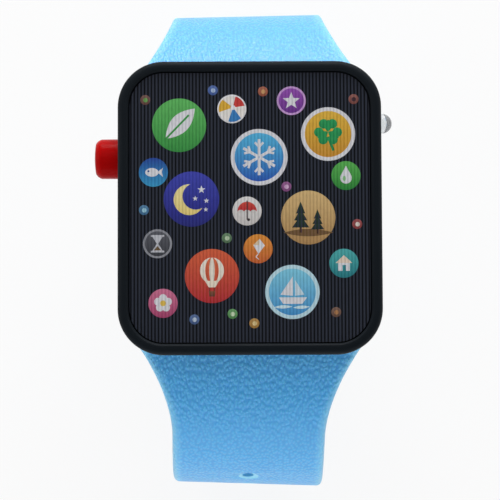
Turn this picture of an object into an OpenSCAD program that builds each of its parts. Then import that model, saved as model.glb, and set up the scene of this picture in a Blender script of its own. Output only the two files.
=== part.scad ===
// Toy wrist watch: black case, ribbed picture screen, red push button, clear lamp, two-part curled strap.
// Millimetres. The face looks along +Z, twelve o'clock is +Y and the lamp is on +X.
// The origin is the middle of the flat back.

/* [Case] */
// Case width across the face
case_w = 39; // [37:0.5:44]
// Case length from six to twelve o'clock
case_l = 43.6; // [42:0.2:48]
// Case height from the flat back to the rim
case_h = 12.4; // [12.2:0.1:15]
// Corner radius of the case outline
corner_r = 6.8; // [6:0.1:8]
// Side wall thickness
wall = 1.6; // [1.4:0.1:2]
// Rounding of the rim's outer edge
rim_round = 1.0; // [0.4:0.1:1.2]
// Bevel of the rim's inner edge
rim_bevel = 0.3; // [0.1:0.05:0.35]
// Rear cover thickness
cover_t = 2.2; // [2:0.1:2.5]
// Rounding of the rear cover's edge
cover_round = 1.2; // [0.5:0.1:1.5]

/* [Screen] */
// Width of the rim round the screen
bezel_w = 1.6; // [1.4:0.1:2.4]
// Gap between the screen and the rim
screen_gap = 0.2; // [0.15:0.05:0.4]
// Depth of the rib tops below the rim
screen_recess = 0.45; // [0.2:0.05:0.8]
// Thickness of the ribbed sheet with its ribs
lens_t = 0.9; // [0.7:0.05:1.1]
// Distance from rib to rib
lens_pitch = 0.508; // [0.4:0.002:0.7]
// Radius of each rib
lens_rib_r = 0.4; // [0.37:0.01:0.5]
// Thickness of the tape under the sheet
tape_t = 0.15; // [0.1:0.05:0.2]
// Width of the tape frame
tape_w = 2.2; // [1.5:0.1:4]
// Thickness of the case plate under the screen
window_t = 1.1; // [0.9:0.1:1.3]

/* [Side controls] */
// Space above and below the button's collar inside the case
collar_room = 0.3; // [0.2:0.05:0.5]
// How far the button stands out
button_out = 3.65; // [2:0.05:4.5]
// Distance from the lamp down to the button along the case
button_from_lamp = 5.2; // [5:0.1:6]
// Button stroke
button_travel = 0.8; // [0.3:0.1:1]
// Rounding of the button's edge
button_round = 1.1; // [0.3:0.1:1.3]
// Gap all round the button in its hole
button_gap = 0.1; // [0.06:0.01:0.2]
// Gap between the collar and the wall at rest
collar_gap = 0.05; // [0.03:0.01:0.1]
// How far the button's inner collar reaches past its cap
collar_reach = 0.5; // [0.3:0.1:0.5]
// Thickness of the button's collar
collar_t = 0.8; // [0.6:0.1:1]
// Diameter of the button's stem
stem_d = 3.2; // [2.4:0.1:3.4]
// Length of the button's stem
stem_l = 1.6; // [1.2:0.1:1.9]
// Diameter of the switch plunger
plunger_d = 2; // [1.6:0.1:2.4]
// Gap all round the switch plunger
plunger_gap = 0.06; // [0.04:0.01:0.1]
// Length of the switch body along the button's axis
switch_len = 4; // [3.5:0.1:4.5]
// Width of the switch body
switch_w = 6; // [5:0.1:6.4]
// Lamp diameter
led_d = 3.0; // [2.8:0.1:3.2]
// How far the lamp stands out
led_out = 1.8; // [1.2:0.05:2]
// Whole length of the lamp body
led_len = 5.3; // [5:0.1:5.8]
// Thickness of the lamp's flange
led_flange_t = 1; // [0.8:0.1:1.2]
// How far the lamp's flange stands past its body
led_flange_reach = 0.4; // [0.3:0.1:0.5]
// Distance between the lamp's leads
led_pitch = 2.54; // [2:0.02:2.6]
// Lamp lead diameter
lead_d = 0.5; // [0.4:0.05:0.6]
// Distance of the lamp's axis from the inner end wall
led_from_end = 1.5; // [1.4:0.1:2]
// Gap all round the lamp in its hole
led_gap = 0.05; // [0.03:0.01:0.1]
// Wall of the lamp's sleeve
sleeve_t = 0.8; // [0.6:0.1:0.9]

/* [Strap] */
// Width of the case left over on both sides of the strap's root
root_margin = 5.6; // [5.4:0.1:7]
// Strap width past the flare
strap_w = 23.1; // [20:0.1:26]
// Strap width at its ends
strap_end_w = 20; // [18:0.5:22]
// Length of the upper strap's root that keeps its full width
upper_root_l = 1.2; // [0.8:0.1:1.6]
// Length of the lower strap's root that keeps its full width
lower_root_l = 0.8; // [0.6:0.1:1.2]
// Length of the upper strap's flare
upper_flare_l = 17; // [14:0.5:20]
// Length of the lower strap's flare
lower_flare_l = 15.5; // [12:0.5:18]
// Distance along the upper strap at which it starts to narrow
upper_narrow = 17; // [14:0.5:22]
// Distance along the lower strap at which it starts to narrow
lower_narrow = 34; // [17:0.5:40]
// Strap thickness past the flare
strap_t = 2.4; // [2:0.1:2.8]
// Strap thickness at the case
strap_root_t = 4.2; // [3.4:0.1:4.6]
// Rounding of the strap's edges
strap_edge_r = 0.9; // [0.4:0.1:1]
// Diameter of the strap's knuckle in the case
knuckle_d = 5.0; // [4.4:0.1:5.2]
// Gap round the knuckle
knuckle_gap = 0.3; // [0.25:0.05:0.4]
// Gap on each side of the strap's root
strap_side_gap = 0.3; // [0.2:0.05:0.4]
// Distance of the spring bar inside the case end
pin_inset = 2.9; // [2.7:0.05:3.1]
// Depth of the spring bar below the strap pocket's roof
pin_drop = 4.2; // [3:0.1:4.4]
// Distance of the strap pocket's roof below the case plate
roof_drop = 1.8; // [1.6:0.1:2.2]
// Thickness of the wall behind the strap pocket
pocket_wall = 1.4; // [1.2:0.1:1.5]
// Spring bar diameter
spring_bar_d = 1.5; // [1.3:0.1:1.8]
// Spring bar tip diameter
spring_tip_d = 0.9; // [0.7:0.1:1]
// How far the spring bar tips reach into the case
spring_tip_l = 0.7; // [0.5:0.1:0.8]
// Running gap round the bars
bar_gap = 0.06; // [0.03:0.01:0.1]

/* [Upper strap curl] */
// Heading at the case, degrees below level
upper_start = 18.7; // [14:0.1:24]
// First radius, up to the crest
upper_r1 = 19.4; // [17:0.1:23]
// Second radius, past the crest
upper_r2 = 31.5; // [29:0.1:34]
// Turn past the crest
upper_turn = 70; // [64:1:72]

/* [Lower strap curl] */
// Heading at the case, degrees below level
lower_start = 9; // [5:0.1:14]
// First radius, up to the crest
lower_r1 = 23.7; // [21:0.1:26]
// Second radius, past the crest
lower_r2 = 25.2; // [24.5:0.1:26.5]
// Turn past the crest
lower_turn = 84; // [78:1:86]
// Radius of the tail
tail_r = 120; // [80:1:200]
// Turn of the tail
tail_turn = 4; // [2:0.1:4.5]
// Length of the tail's rounded tip
tip_l = 8; // [5:0.5:10]
// Strap hole diameter
hole_d = 1.8; // [1.4:0.1:2.4]
// Diameter of the rim round each strap hole
hole_rim_d = 3.2; // [2.8:0.1:3.8]
// First strap hole, along the strap from the spring bar
hole_first = 27; // [24:0.5:30]
// Distance between strap holes
hole_pitch = 6.5; // [5:0.1:6.8]
// Number of strap holes
hole_count = 7; // [4:1:7]

/* [Buckle] */
// Diameter of the strap's knuckle at the buckle
buckle_knuckle_d = 4.2; // [3.8:0.1:4.6]
// Buckle bar diameter
buckle_bar_d = 1.4; // [1.2:0.1:1.8]
// Gap between strap and buckle arms
buckle_side_gap = 0.5; // [0.3:0.1:0.8]
// Width of each buckle arm
buckle_arm_w = 2.2; // [1.6:0.1:3]
// Buckle length from its bar to its far edge
buckle_l = 10.5; // [9:0.1:11.5]
// Width of the buckle's far bar
buckle_front_w = 2.6; // [2:0.1:3.2]
// Thickness of the buckle's far bar
buckle_front_t = 1.8; // [1.4:0.1:2]
// Rounding of the buckle's outer corners
buckle_round = 2.5; // [1.5:0.1:3]
// Rounding of the buckle's inner corners
buckle_in_r = 1; // [0.5:0.1:1.5]
// Buckle heading at rest, degrees
buckle_heading = 178; // [170:1:182]
// Tongue width
tongue_w = 2.0; // [1.4:0.1:2.4]
// Tongue thickness
tongue_t = 1.2; // [0.8:0.1:1.4]
// Diameter of the tongue's eye
tongue_eye_d = 3.2; // [2.6:0.1:3.6]
// Room for the tongue behind the strap's end knuckle
tongue_room = 1.2; // [0.8:0.1:1.6]
// Gap on each side of the tongue
tongue_gap = 0.4; // [0.3:0.05:0.6]
// Keeper distance from the buckle bar along the strap
keeper_back = 13; // [12:0.5:15]
// Keeper length along the strap
keeper_l = 4.5; // [3:0.1:6]
// Keeper wall
keeper_t = 1.0; // [0.8:0.1:1.4]
// Gap between the keeper and the strap
keeper_gap = 0.3; // [0.25:0.05:0.4]
// Rounding of the keeper's inner corners
keeper_round = 0.6; // [0.3:0.1:0.8]

/* [Speaker] */
// Part of the length shared with the cells that the speaker takes
speaker_share = 0.655; // [0.6:0.005:0.68]
// Gap round the speaker in its ring
speaker_gap = 0.15; // [0.1:0.01:0.2]
// Wall of the speaker's ring
ring_wall = 0.8; // [0.6:0.1:0.9]
// Height of the speaker's ring
ring_h = 2; // [1.5:0.1:2.4]
// Gap between the speaker's ring and the end wall, and to the cell block
ring_gap = 0.05; // [0.03:0.01:0.1]
// Speaker wall
speaker_wall = 0.5; // [0.4:0.1:0.7]
// Thickness of the speaker's top plate
speaker_top = 0.6; // [0.4:0.1:0.6]
// Gap round the cone in its frame
cone_gap = 0.03; // [0.02:0.01:0.05]
// Magnet diameter as a part of the speaker's
magnet_share = 0.6; // [0.5:0.01:0.65]
// Speaker magnet height
magnet_h = 1.6; // [1.2:0.1:1.8]
// Gap between the magnet and the board
magnet_gap = 0.8; // [0.6:0.1:1]
// Gasket thickness
gasket_t = 0.4; // [0.3:0.1:0.5]
// Gasket width
gasket_w = 1.5; // [1:0.1:2]
// Grille hole diameter
grille_d = 1.2; // [0.8:0.1:1.3]
// Distance between the grille's rings of holes as a part of the speaker's diameter
grille_share = 0.153; // [0.13:0.001:0.16]

/* [Batteries] */
// Gap round a cell
cell_gap = 0.15; // [0.1:0.01:0.2]
// Wall between cells
cell_wall = 0.6; // [0.5:0.05:0.7]
// Gap between the cell block and the bosses
block_gap = 0.1; // [0.05:0.01:0.2]
// Wall round the cell block
block_wall = 0.8; // [0.6:0.1:0.9]
// Contact sheet thickness
contact_t = 0.25; // [0.2:0.05:0.3]
// Room for the contact springs
spring_room = 0.9; // [0.8:0.1:1]
// Room for the cell wires under the board
wire_room = 1.25; // [1.2:0.05:1.5]
// How far the battery door falls short of the cell block along the case
door_short = 0.4; // [0.2:0.1:0.6]
// How far the battery door reaches past its screws
door_reach = 1.9; // [1.8:0.1:2]
// Battery door thickness
door_t = 1.4; // [1.3:0.1:1.5]
// Gap round the battery door
door_gap = 0.15; // [0.1:0.01:0.2]
// Corner radius of the battery door's seat
door_r = 2; // [1:0.1:3]
// Distance of the door screws from the inner side wall
door_screw_in = 2.5; // [2.4:0.05:2.8]

/* [Screws and board] */
// Screw diameter
screw_d = 1.6; // [1.4:0.1:1.7]
// Screw head diameter
head_d = 2.8; // [2.6:0.1:2.9]
// Screw head height
head_h = 0.8; // [0.7:0.1:0.9]
// Gap round a screw head in its seat
head_gap = 0.15; // [0.1:0.01:0.2]
// Cover left under the case screws' heads
seat_t = 1.2; // [1:0.1:1.3]
// Door screw length under the head
door_screw_l = 3.6; // [3:0.1:4]
// Gap round a screw in its boss
screw_gap = 0.03; // [0.02:0.01:0.05]
// Boss diameter
boss_d = 3.4; // [3.2:0.1:3.5]
// Distance of the bosses from the inner end wall
boss_in = 0.8; // [0.6:0.1:1]
// Gap between a boss and its neighbours
boss_gap = 0.8; // [0.7:0.1:1]
// Circuit board thickness
board_t = 1.0; // [0.8:0.1:1.2]
// Gap between the board and the case plate
board_gap = 0.6; // [0.4:0.1:0.7]
// Room on each side of the board
board_side = 2.9; // [2.7:0.1:3.4]
// Gap between the board and the bosses
board_boss_gap = 1.7; // [1:0.1:2]
// Diameter of the board's posts
post_d = 2.4; // [2:0.1:2.6]
// Diameter of the pins on the posts
pin_d = 1.2; // [1:0.1:1.3]
// Wall of the cover's inner lip
lip_t = 0.9; // [0.8:0.05:1]
// Height of the cover's inner lip
lip_h = 1.4; // [1:0.1:1.8]
// Gap between the lip and the case wall
lip_gap = 0.1; // [0.05:0.01:0.15]

/* [Hidden] */
$fn = 72;
eps = 0.01;
lens_z1 = case_h - screen_recess;
lens_z0 = lens_z1 - lens_t;
screen_floor = lens_z0 - tape_t;
window_z0 = screen_floor - window_t;
board_z1 = window_z0 - board_gap;
board_z0 = board_z1 - board_t;
recess_r = corner_r - bezel_w;
// Strap pockets and what is left inside the case
strap_root_w = case_w - root_margin;
pocket_roof = window_z0 - roof_drop;
pin_z = pocket_roof - pin_drop;
pin_y = case_l / 2 - pin_inset;
pocket_w = strap_root_w + 2 * strap_side_gap;
pocket_y = pin_y - knuckle_d / 2 - knuckle_gap;
cavity_w = case_w - 2 * wall;
cavity_l = 2 * (pocket_y - pocket_wall);
wall_in = cavity_w / 2;
side_z = (cover_t + window_z0) / 2;
// Stations of the lamp
led_y = cavity_l / 2 - led_from_end;
led_tip = case_w / 2 + led_out;
led_base = led_tip - led_len;
led_flange_d = led_d + 2 * led_flange_reach;
lead_x = [led_base - 0.8, led_base - 2.2];
ear_x0 = lead_x[1] - 2.05;
ear_x1 = led_base - 0.05;
// Screws
boss_x = ear_x0 - boss_gap - boss_d / 2;
boss_y = cavity_l / 2 - boss_in;
screw_l = window_z0 - cover_t - 2.2;
head_z = cover_t - seat_t - head_h;
door_screw_x = wall_in - door_screw_in;
// Stations of the button from its collar to the switch
button_d = window_z0 - cover_t - 2 * (collar_reach + collar_room);
button_y = led_y - button_from_lamp;
collar_x = wall_in - collar_gap;
stem_x = collar_x - collar_t;
stem_end = stem_x - stem_l;
switch_x = stem_end - button_travel - 0.1;
switch_drop = board_z0 - side_z + plunger_d / 2 + 0.7;
// Length shared by the speaker and the cells, and the width for three cells between the door's screws
share_l = cavity_l - boss_in - boss_d / 2 - block_gap - 2 * ring_gap
    - 2 * (speaker_gap + ring_wall) - 2 * (cell_gap + block_wall);
cells_w = 2 * (door_screw_x - boss_d / 2) - 2 * block_wall - 2 * cell_wall;
speaker_d = speaker_share * share_l;
ring_d = speaker_d + 2 * (speaker_gap + ring_wall);
speaker_y = cavity_l / 2 - ring_gap - ring_d / 2;
cell_d = min((1 - speaker_share) * share_l, cells_w / 3 - 2 * cell_gap);
block_l = cell_d + 2 * (cell_gap + block_wall);
cell_step = cell_d + 2 * cell_gap + cell_wall;
block_w = 2 * cell_step + block_l;
cell_y = speaker_y - ring_d / 2 - ring_gap - block_l / 2;
speaker_z = cover_t + gasket_t;
speaker_h = board_z0 - magnet_gap - magnet_h - speaker_z;
magnet_z = speaker_z + speaker_h;
magnet_d = magnet_share * speaker_d;
grille_step = grille_share * speaker_d;
cell_z = door_t + contact_t;
cell_h = board_z0 - wire_room - block_wall - spring_room - cell_z;
cell_top = cell_z + cell_h;
block_roof = cell_top + spring_room;
block_top = block_roof + block_wall;
door_w = 2 * (door_screw_x + door_reach);
door_l = block_l - door_short;
// Board
board_w = cavity_w - 2 * board_side;
board_l = 2 * (boss_y - boss_d / 2 - board_boss_gap);
stakes = [
    [-board_w / 5, board_l / 2 - 1.2], [board_w / 5, board_l / 2 - 1.2],
    [2 - board_w / 2, 1.5 - board_l / 2], [board_w / 2 - 2, 1.5 - board_l / 2]
];
// Strap runs as pairs of radius and turn
upper_runs = [[upper_r1, 90 - upper_start], [upper_r2, upper_turn]];
lower_runs = [[lower_r1, 90 - lower_start], [lower_r2, lower_turn], [tail_r, tail_turn]];
function run_l(r) = r[0] * r[1] * PI / 180;
upper_l = run_l(upper_runs[0]) + run_l(upper_runs[1]);
lower_l = run_l(lower_runs[0]) + run_l(lower_runs[1]) + run_l(lower_runs[2]);
// Point and heading at a distance along a strap, from the spring bar
function at(runs, s, a, i = 0, u = 0, v = 0) =
    let (r = runs[i][0], l = run_l(runs[i]), last = i == len(runs) - 1)
    let (b = (s <= l || last) ? a + s / r * 180 / PI : a + runs[i][1])
    let (p = [u + r * (sin(b) - sin(a)), v + r * (cos(b) - cos(a)), b])
    (s <= l || last) ? p : at(runs, s - l, b, i + 1, p[0], p[1]);
function mix(a, b, k) = a + (b - a) * max(0, min(1, k));
// Strap width and thickness at a distance along it, from the lengths of its root and flare and its narrowing
upper_form = [upper_root_l, upper_flare_l, upper_narrow];
lower_form = [lower_root_l, lower_flare_l, lower_narrow];
function width_at(s, l, form) =
    strap_w + (strap_root_w - strap_w) * pow(max(0, min(1, 1 - (s - form[0]) / form[1])), 2)
    - (strap_w - strap_end_w) * max(0, min(1, (s - form[2]) / (l - form[2] - keeper_back - keeper_l)));
function tip_at(s, l) = s < l - tip_l ? 1 : sqrt(max(0.02, 1 - pow((s - l + tip_l) / tip_l, 2)));
function thick_at(s) = mix(strap_root_t, strap_t, sin(90 * min(1, s / 8)));
upper_end = at(upper_runs, upper_l, upper_start);
upper_centre = let (p = at(upper_runs, run_l(upper_runs[0]), upper_start)) [p[0] - upper_r2, p[1]];

// Shared shapes
module rounded_plan(w, l, r) {
    square([w - 2 * r, l], center = true);
    square([w, l - 2 * r], center = true);
    for (sx = [-1, 1], sy = [-1, 1])
        translate([sx * (w / 2 - r), sy * (l / 2 - r)]) circle(r);
}

// Carries a profile, drawn from the corner's centre outwards, round a rounded plan
module around(w, l, r) {
    for (k = [0, 1]) rotate([0, 0, 180 * k]) {
        translate([w / 2 - r, l / 2 - r, 0]) rotate_extrude(angle = 90) children();
        translate([w / 2 - r, r - l / 2, 0]) rotate([0, 0, -90]) rotate_extrude(angle = 90) children();
        translate([w / 2 - r, l / 2 - r, 0]) rotate([90, 0, 0]) linear_extrude(l - 2 * r) children();
        rotate([0, 0, 90]) translate([l / 2 - r, w / 2 - r, 0])
            rotate([90, 0, 0]) linear_extrude(w - 2 * r) children();
    }
}

// Profile of a wall with a rounded upper edge
module edge_profile(r, h, e) {
    difference() {
        square([r, h]);
        translate([r - e, h - e]) difference() {
            square([e + 1, e + 1]);
            circle(e);
        }
    }
}

module soft_block(h, e) {
    around(case_w, case_l, corner_r) edge_profile(corner_r, h, e);
    translate([corner_r - case_w / 2, corner_r - case_l / 2, 0])
        cube([case_w - 2 * corner_r, case_l - 2 * corner_r, h]);
}

module plate(x, y, w, l, z0, z1) {
    translate([x - w / 2, y - l / 2, z0]) cube([w, l, z1 - z0]);
}

module rod_z(x, y, d, z0, z1) {
    translate([x, y, z0]) cylinder(d = d, h = z1 - z0);
}

module rod_x(y, z, d, x0, x1) {
    translate([x0, y, z]) rotate([0, 90, 0]) cylinder(d = d, h = x1 - x0);
}

// Pan head screw with a cross recess, head at the bottom, tip up
module screw(l) {
    difference() {
        union() {
            cylinder(d = head_d, h = head_h);
            translate([0, 0, head_h - eps]) cylinder(d = screw_d, h = l - 0.8 + eps);
            translate([0, 0, head_h + l - 0.8]) cylinder(d1 = screw_d, d2 = 0.5, h = 0.8);
        }
        for (a = [0, 90]) rotate([0, 0, a]) translate([-0.75, -0.19, -1]) cube([1.5, 0.38, 1.5]);
    }
}

// Case
module strap_pockets(z0) {
    for (sy = [-1, 1])
        translate([-pocket_w / 2, sy > 0 ? pocket_y : -case_l, z0])
            cube([pocket_w, case_l - pocket_y, pocket_roof - z0]);
}

module front_case() {
    color([0.09, 0.1, 0.11]) difference() {
        union() {
            difference() {
                translate([0, 0, cover_t]) soft_block(case_h - cover_t, rim_round);
                translate([0, 0, screen_floor]) linear_extrude(case_h)
                    rounded_plan(case_w - 2 * bezel_w, case_l - 2 * bezel_w, recess_r);
                around(case_w - 2 * bezel_w, case_l - 2 * bezel_w, recess_r) polygon([
                    [recess_r - 0.1, case_h - rim_bevel - 0.1],
                    [recess_r + rim_bevel + 0.1, case_h + 0.1],
                    [recess_r - 0.1, case_h + 0.1]
                ]);
                translate([0, 0, cover_t - 1]) linear_extrude(window_z0 - cover_t + 1)
                    rounded_plan(cavity_w, cavity_l, 1);
                strap_pockets(0);
            }
            for (sx = [-1, 1], sy = [-1, 1]) rod_z(sx * boss_x, sy * boss_y, boss_d, cover_t, window_z0 + 0.2);
            rod_x(led_y, side_z, led_d + 2 * sleeve_t, led_base + led_flange_t, wall_in + 0.2);
            for (p = stakes) {
                rod_z(p[0], p[1], post_d, board_z1, window_z0 + 0.2);
                rod_z(p[0], p[1], pin_d, board_z0 - 0.4, board_z1 + 0.2);
            }
        }
        rod_x(button_y, side_z, button_d + 2 * button_gap, -case_w, -wall_in + 0.5);
        rod_x(led_y, side_z, led_d + 2 * led_gap, led_base, case_w);
        rod_x(led_y, side_z, led_flange_d + 2 * led_gap, led_base - 2, led_base + led_flange_t);
        for (sx = [-1, 1], sy = [-1, 1])
            rod_z(sx * boss_x, sy * boss_y, screw_d + 2 * screw_gap, cover_t - 1, cover_t + screw_l);
        for (sy = [-1, 1]) rod_x(sy * pin_y, pin_z, spring_tip_d + 2 * bar_gap,
            -pocket_w / 2 - spring_tip_l - 0.1, pocket_w / 2 + spring_tip_l + 0.1);
    }
}

module rear_cover() {
    head_seat = cover_t - seat_t;
    lip_y0 = 2.7 - cavity_l / 2;
    lip_y1 = button_y - button_d / 2 - collar_reach - 1.5;
    lip_w = 2 * (boss_x - boss_d / 2 - 2.3);
    color([0.1, 0.11, 0.12]) difference() {
        union() {
            difference() {
                translate([0, 0, cover_t]) mirror([0, 0, 1]) soft_block(cover_t, cover_round);
                strap_pockets(-1);
            }
            plate(0, cell_y, block_w, block_l, cover_t - 0.2, block_top);
            for (sx = [-1, 1]) {
                rod_z(sx * door_screw_x, cell_y, boss_d, cover_t - 0.2, door_t + door_screw_l + 0.6);
                plate(sx * (wall_in - lip_gap - lip_t / 2), (lip_y0 + lip_y1) / 2, lip_t, lip_y1 - lip_y0,
                    cover_t - 0.2, cover_t + lip_h);
                plate(0, sx * (cavity_l / 2 - lip_gap - lip_t / 2), lip_w, lip_t, cover_t - 0.2, cover_t + lip_h);
            }
            difference() {
                rod_z(0, speaker_y, ring_d, cover_t - 0.2, cover_t + ring_h);
                rod_z(0, speaker_y, speaker_d + 2 * speaker_gap, cover_t, cover_t + ring_h + 1);
            }
        }
        for (i = [-1, 0, 1]) rod_z(i * cell_step, cell_y, cell_d + 2 * cell_gap, 0.5, block_roof);
        plate(-cell_step / 2, cell_y, cell_step, 4.6, 0.5, door_t + 0.8);
        translate([0, cell_y, -1]) linear_extrude(door_t + 0.05 + 1)
            rounded_plan(door_w + 2 * door_gap, door_l + 2 * door_gap, door_r);
        for (sx = [-1, 1]) {
            rod_z(sx * door_screw_x, cell_y, screw_d + 2 * screw_gap, 0.5, door_t + door_screw_l);
            for (sy = [-1, 1]) {
                rod_z(sx * boss_x, sy * boss_y, screw_d + 0.4, -1, cover_t + 1);
                rod_z(sx * boss_x, sy * boss_y, head_d + 2 * head_gap, -1, head_seat);
            }
        }
        rod_z(0, speaker_y, grille_d, -1, cover_t + 1);
        for (j = [1, 2], k = [1 : 6 * j])
            rod_z(j * grille_step * cos(60 * k / j), speaker_y + j * grille_step * sin(60 * k / j),
                grille_d, -1, cover_t + 1);
    }
}

module case_screws() {
    color([0.7, 0.7, 0.72]) for (sx = [-1, 1], sy = [-1, 1])
        translate([sx * boss_x, sy * boss_y, head_z]) screw(screw_l);
}

// Screen: a sheet of round ribs, cut to the rounded outline
module lenticular_screen() {
    w = case_w - 2 * bezel_w - 2 * screen_gap;
    l = case_l - 2 * bezel_w - 2 * screen_gap;
    n = ceil(w / lens_pitch / 2);
    color([0.12, 0.13, 0.17]) intersection() {
        translate([0, l / 2, 0]) rotate([90, 0, 0]) linear_extrude(l) {
            translate([-w / 2 - 1, lens_z0]) square([w + 2, lens_t - lens_rib_r]);
            for (i = [-n : n]) translate([i * lens_pitch, lens_z1 - lens_rib_r]) circle(lens_rib_r);
        }
        translate([0, 0, lens_z0]) linear_extrude(lens_t + 1) rounded_plan(w, l, recess_r - screen_gap);
    }
}

module screen_tape() {
    w = case_w - 2 * bezel_w - 2 * screen_gap;
    l = case_l - 2 * bezel_w - 2 * screen_gap;
    r = recess_r - screen_gap;
    color([0.85, 0.83, 0.75]) translate([0, 0, screen_floor]) linear_extrude(tape_t) difference() {
        rounded_plan(w, l, r);
        rounded_plan(w - 2 * tape_w, l - 2 * tape_w, r - tape_w);
    }
}

// Circuit board and what is soldered to it
module main_board() {
    slot = lead_d + 0.3;
    color([0.1, 0.35, 0.2]) difference() {
        union() {
            plate(0, 0, board_w, board_l, board_z0, board_z1);
            translate([ear_x0, board_l / 2 - 0.3, board_z0])
                cube([ear_x1 - ear_x0, led_y + 1.4 - board_l / 2 + 0.3, board_t]);
        }
        for (p = stakes) rod_z(p[0], p[1], pin_d + 0.2, board_z0 - 1, board_z1 + 1);
        rod_z(lead_x[1], led_y, slot, board_z0 - 1, board_z1 + 1);
        translate([lead_x[1], led_y - slot / 2, board_z0 - 1]) cube([led_len, slot, board_t + 2]);
    }
}

module chip_blob() {
    color([0.05, 0.05, 0.05]) translate([board_w / 2 - 4.6, 3, board_z0]) mirror([0, 0, 1]) intersection() {
        cylinder(d = 6.4, h = 1.3);
        translate([0, 0, -3.4]) sphere(4.7);
    }
}

module board_parts() {
    color([0.75, 0.65, 0.45]) {
        plate(2.4 - board_w / 2, 0.5, 2, 1.2, board_z0 - 0.7, board_z0);
        plate(2.4 - board_w / 2, -2, 2, 1.2, board_z0 - 0.7, board_z0);
        plate(board_w / 2 - 2.2, -3.4, 1.2, 2, board_z0 - 0.7, board_z0);
        rod_z(5.2 - board_w / 2, -1, 1.6, board_z0 - 1.1, board_z0);
    }
}

module button_switch() {
    color([0.15, 0.15, 0.16]) difference() {
        translate([-switch_x, button_y - switch_w / 2, board_z0 - switch_drop])
            cube([switch_len, switch_w, switch_drop]);
        rod_x(button_y, side_z, plunger_d + 2 * plunger_gap, -switch_x - 1, -switch_x + button_travel + 2);
    }
}

module switch_plunger() {
    color([0.85, 0.82, 0.75]) rod_x(button_y, side_z, plunger_d, -stem_end, -switch_x + 1.6);
}

// The red cap with its collar and stem, drawn along its axis from the outer end inwards
module push_button() {
    r = button_d / 2;
    l = case_w / 2 + button_out - collar_x;
    crown = 16;
    color([0.75, 0.07, 0.07]) translate([-collar_x, button_y, side_z]) rotate([0, -90, 0]) {
        rotate_extrude() intersection() {
            edge_profile(r, l, button_round);
            translate([0, l - crown]) circle(crown, $fn = 200);
        }
        translate([0, 0, -collar_t]) cylinder(r = r + collar_reach, h = collar_t + eps);
        translate([0, 0, -collar_t - stem_l]) cylinder(d = stem_d, h = stem_l + eps);
    }
}

module led_lamp() {
    r = led_d / 2;
    color([0.9, 0.93, 0.95]) translate([led_base, led_y, side_z]) rotate([0, 90, 0]) rotate_extrude() {
        square([led_flange_d / 2, led_flange_t]);
        square([r, led_len - r]);
        translate([0, led_len - r]) intersection() {
            circle(r);
            square([r, r]);
        }
    }
}

module led_leads() {
    color([0.78, 0.78, 0.8]) for (k = [0, 1]) {
        x = lead_x[k];
        z = side_z + led_pitch / 2 - led_pitch * k;
        rod_x(led_y, z, lead_d, x, led_base);
        rod_z(x, led_y, lead_d, z, board_z1 + 0.4);
        translate([x, led_y, z]) sphere(d = lead_d);
    }
}

// Speaker, facing the grille
module speaker_frame() {
    r = speaker_d / 2;
    color([0.35, 0.35, 0.37]) translate([0, speaker_y, speaker_z]) difference() {
        cylinder(r = r, h = speaker_h);
        translate([0, 0, -1]) cylinder(r = r - speaker_wall, h = speaker_h - speaker_top + 1);
        for (k = [0 : 3]) rotate([0, 0, 45 + 90 * k]) translate([r - 1.7, 0, 0]) cylinder(d = 1.4, h = speaker_h + 1);
    }
}

module speaker_cone() {
    r = speaker_d / 2 - speaker_wall - cone_gap;
    h = speaker_h / 16;
    color([0.2, 0.19, 0.18]) translate([0, speaker_y, speaker_z]) rotate_extrude() polygon([
        [0, 1.5 * h], [0.23 * r, 2 * h], [0.38 * r, 5 * h], [0.83 * r, 1.75 * h], [0.91 * r, h], [r, h],
        [r, 2 * h], [0.91 * r, 2 * h], [0.83 * r, 2.75 * h], [0.38 * r, 6 * h], [0.23 * r, 3 * h], [0, 2.5 * h]
    ]);
}

module speaker_magnet() {
    color([0.6, 0.6, 0.62]) translate([0, speaker_y, magnet_z]) cylinder(d = magnet_d, h = magnet_h);
}

module speaker_gasket() {
    color([0.12, 0.12, 0.12]) translate([0, speaker_y, cover_t]) difference() {
        cylinder(d = speaker_d, h = gasket_t);
        translate([0, 0, -1]) cylinder(d = speaker_d - 2 * gasket_w, h = gasket_t + 2);
    }
}

module speaker_wires() {
    color([0.8, 0.2, 0.15]) for (sx = [-1, 1])
        rod_z(sx * (speaker_d / 2 - 1), speaker_y, 0.8, magnet_z, board_z0);
}

// Batteries, contacts and door
module button_cells() {
    color([0.82, 0.82, 0.84]) for (i = [-1, 0, 1]) translate([i * cell_step, cell_y, cell_z]) {
        cylinder(d = cell_d - 1.6, h = cell_h);
        cylinder(d = cell_d, h = cell_h - 0.5);
    }
}

module spring_contacts() {
    room = spring_room;
    color([0.85, 0.8, 0.6]) for (i = [-1, 0, 1]) translate([i * cell_step, cell_y + 1.5, cell_top])
        rotate([90, 0, 0]) linear_extrude(3) polygon([
            [-2.6, room], [-2.6, room - contact_t], [-0.8, 0], [0.8, 0], [2.6, room - contact_t], [2.6, room],
            [2.3, room], [0.6, contact_t], [-0.6, contact_t], [-2.3, room]
        ]);
}

module door_contacts() {
    color([0.85, 0.8, 0.6]) {
        plate(-cell_step / 2, cell_y, cell_step + 3, 4, door_t, door_t + contact_t);
        plate(cell_step, cell_y, 4, 4, door_t, door_t + contact_t);
    }
}

module battery_wires() {
    color([0.1, 0.1, 0.1]) for (sx = [-1, 1]) rod_z(sx * cell_step, cell_y, 0.9, block_top, board_z0);
}

module battery_door() {
    color([0.11, 0.12, 0.13]) translate([0, cell_y, 0]) difference() {
        linear_extrude(door_t) rounded_plan(door_w, door_l, door_r - door_gap);
        for (sx = [-1, 1]) {
            rod_z(sx * door_screw_x, 0, screw_d + 0.3, -1, door_t + 1);
            rod_z(sx * door_screw_x, 0, head_d + 0.2, -1, head_h);
        }
        for (k = [-2 : 2]) plate(1.6 * k, 0, 0.7, door_l - 5, -1, 0.4);
    }
}

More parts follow.
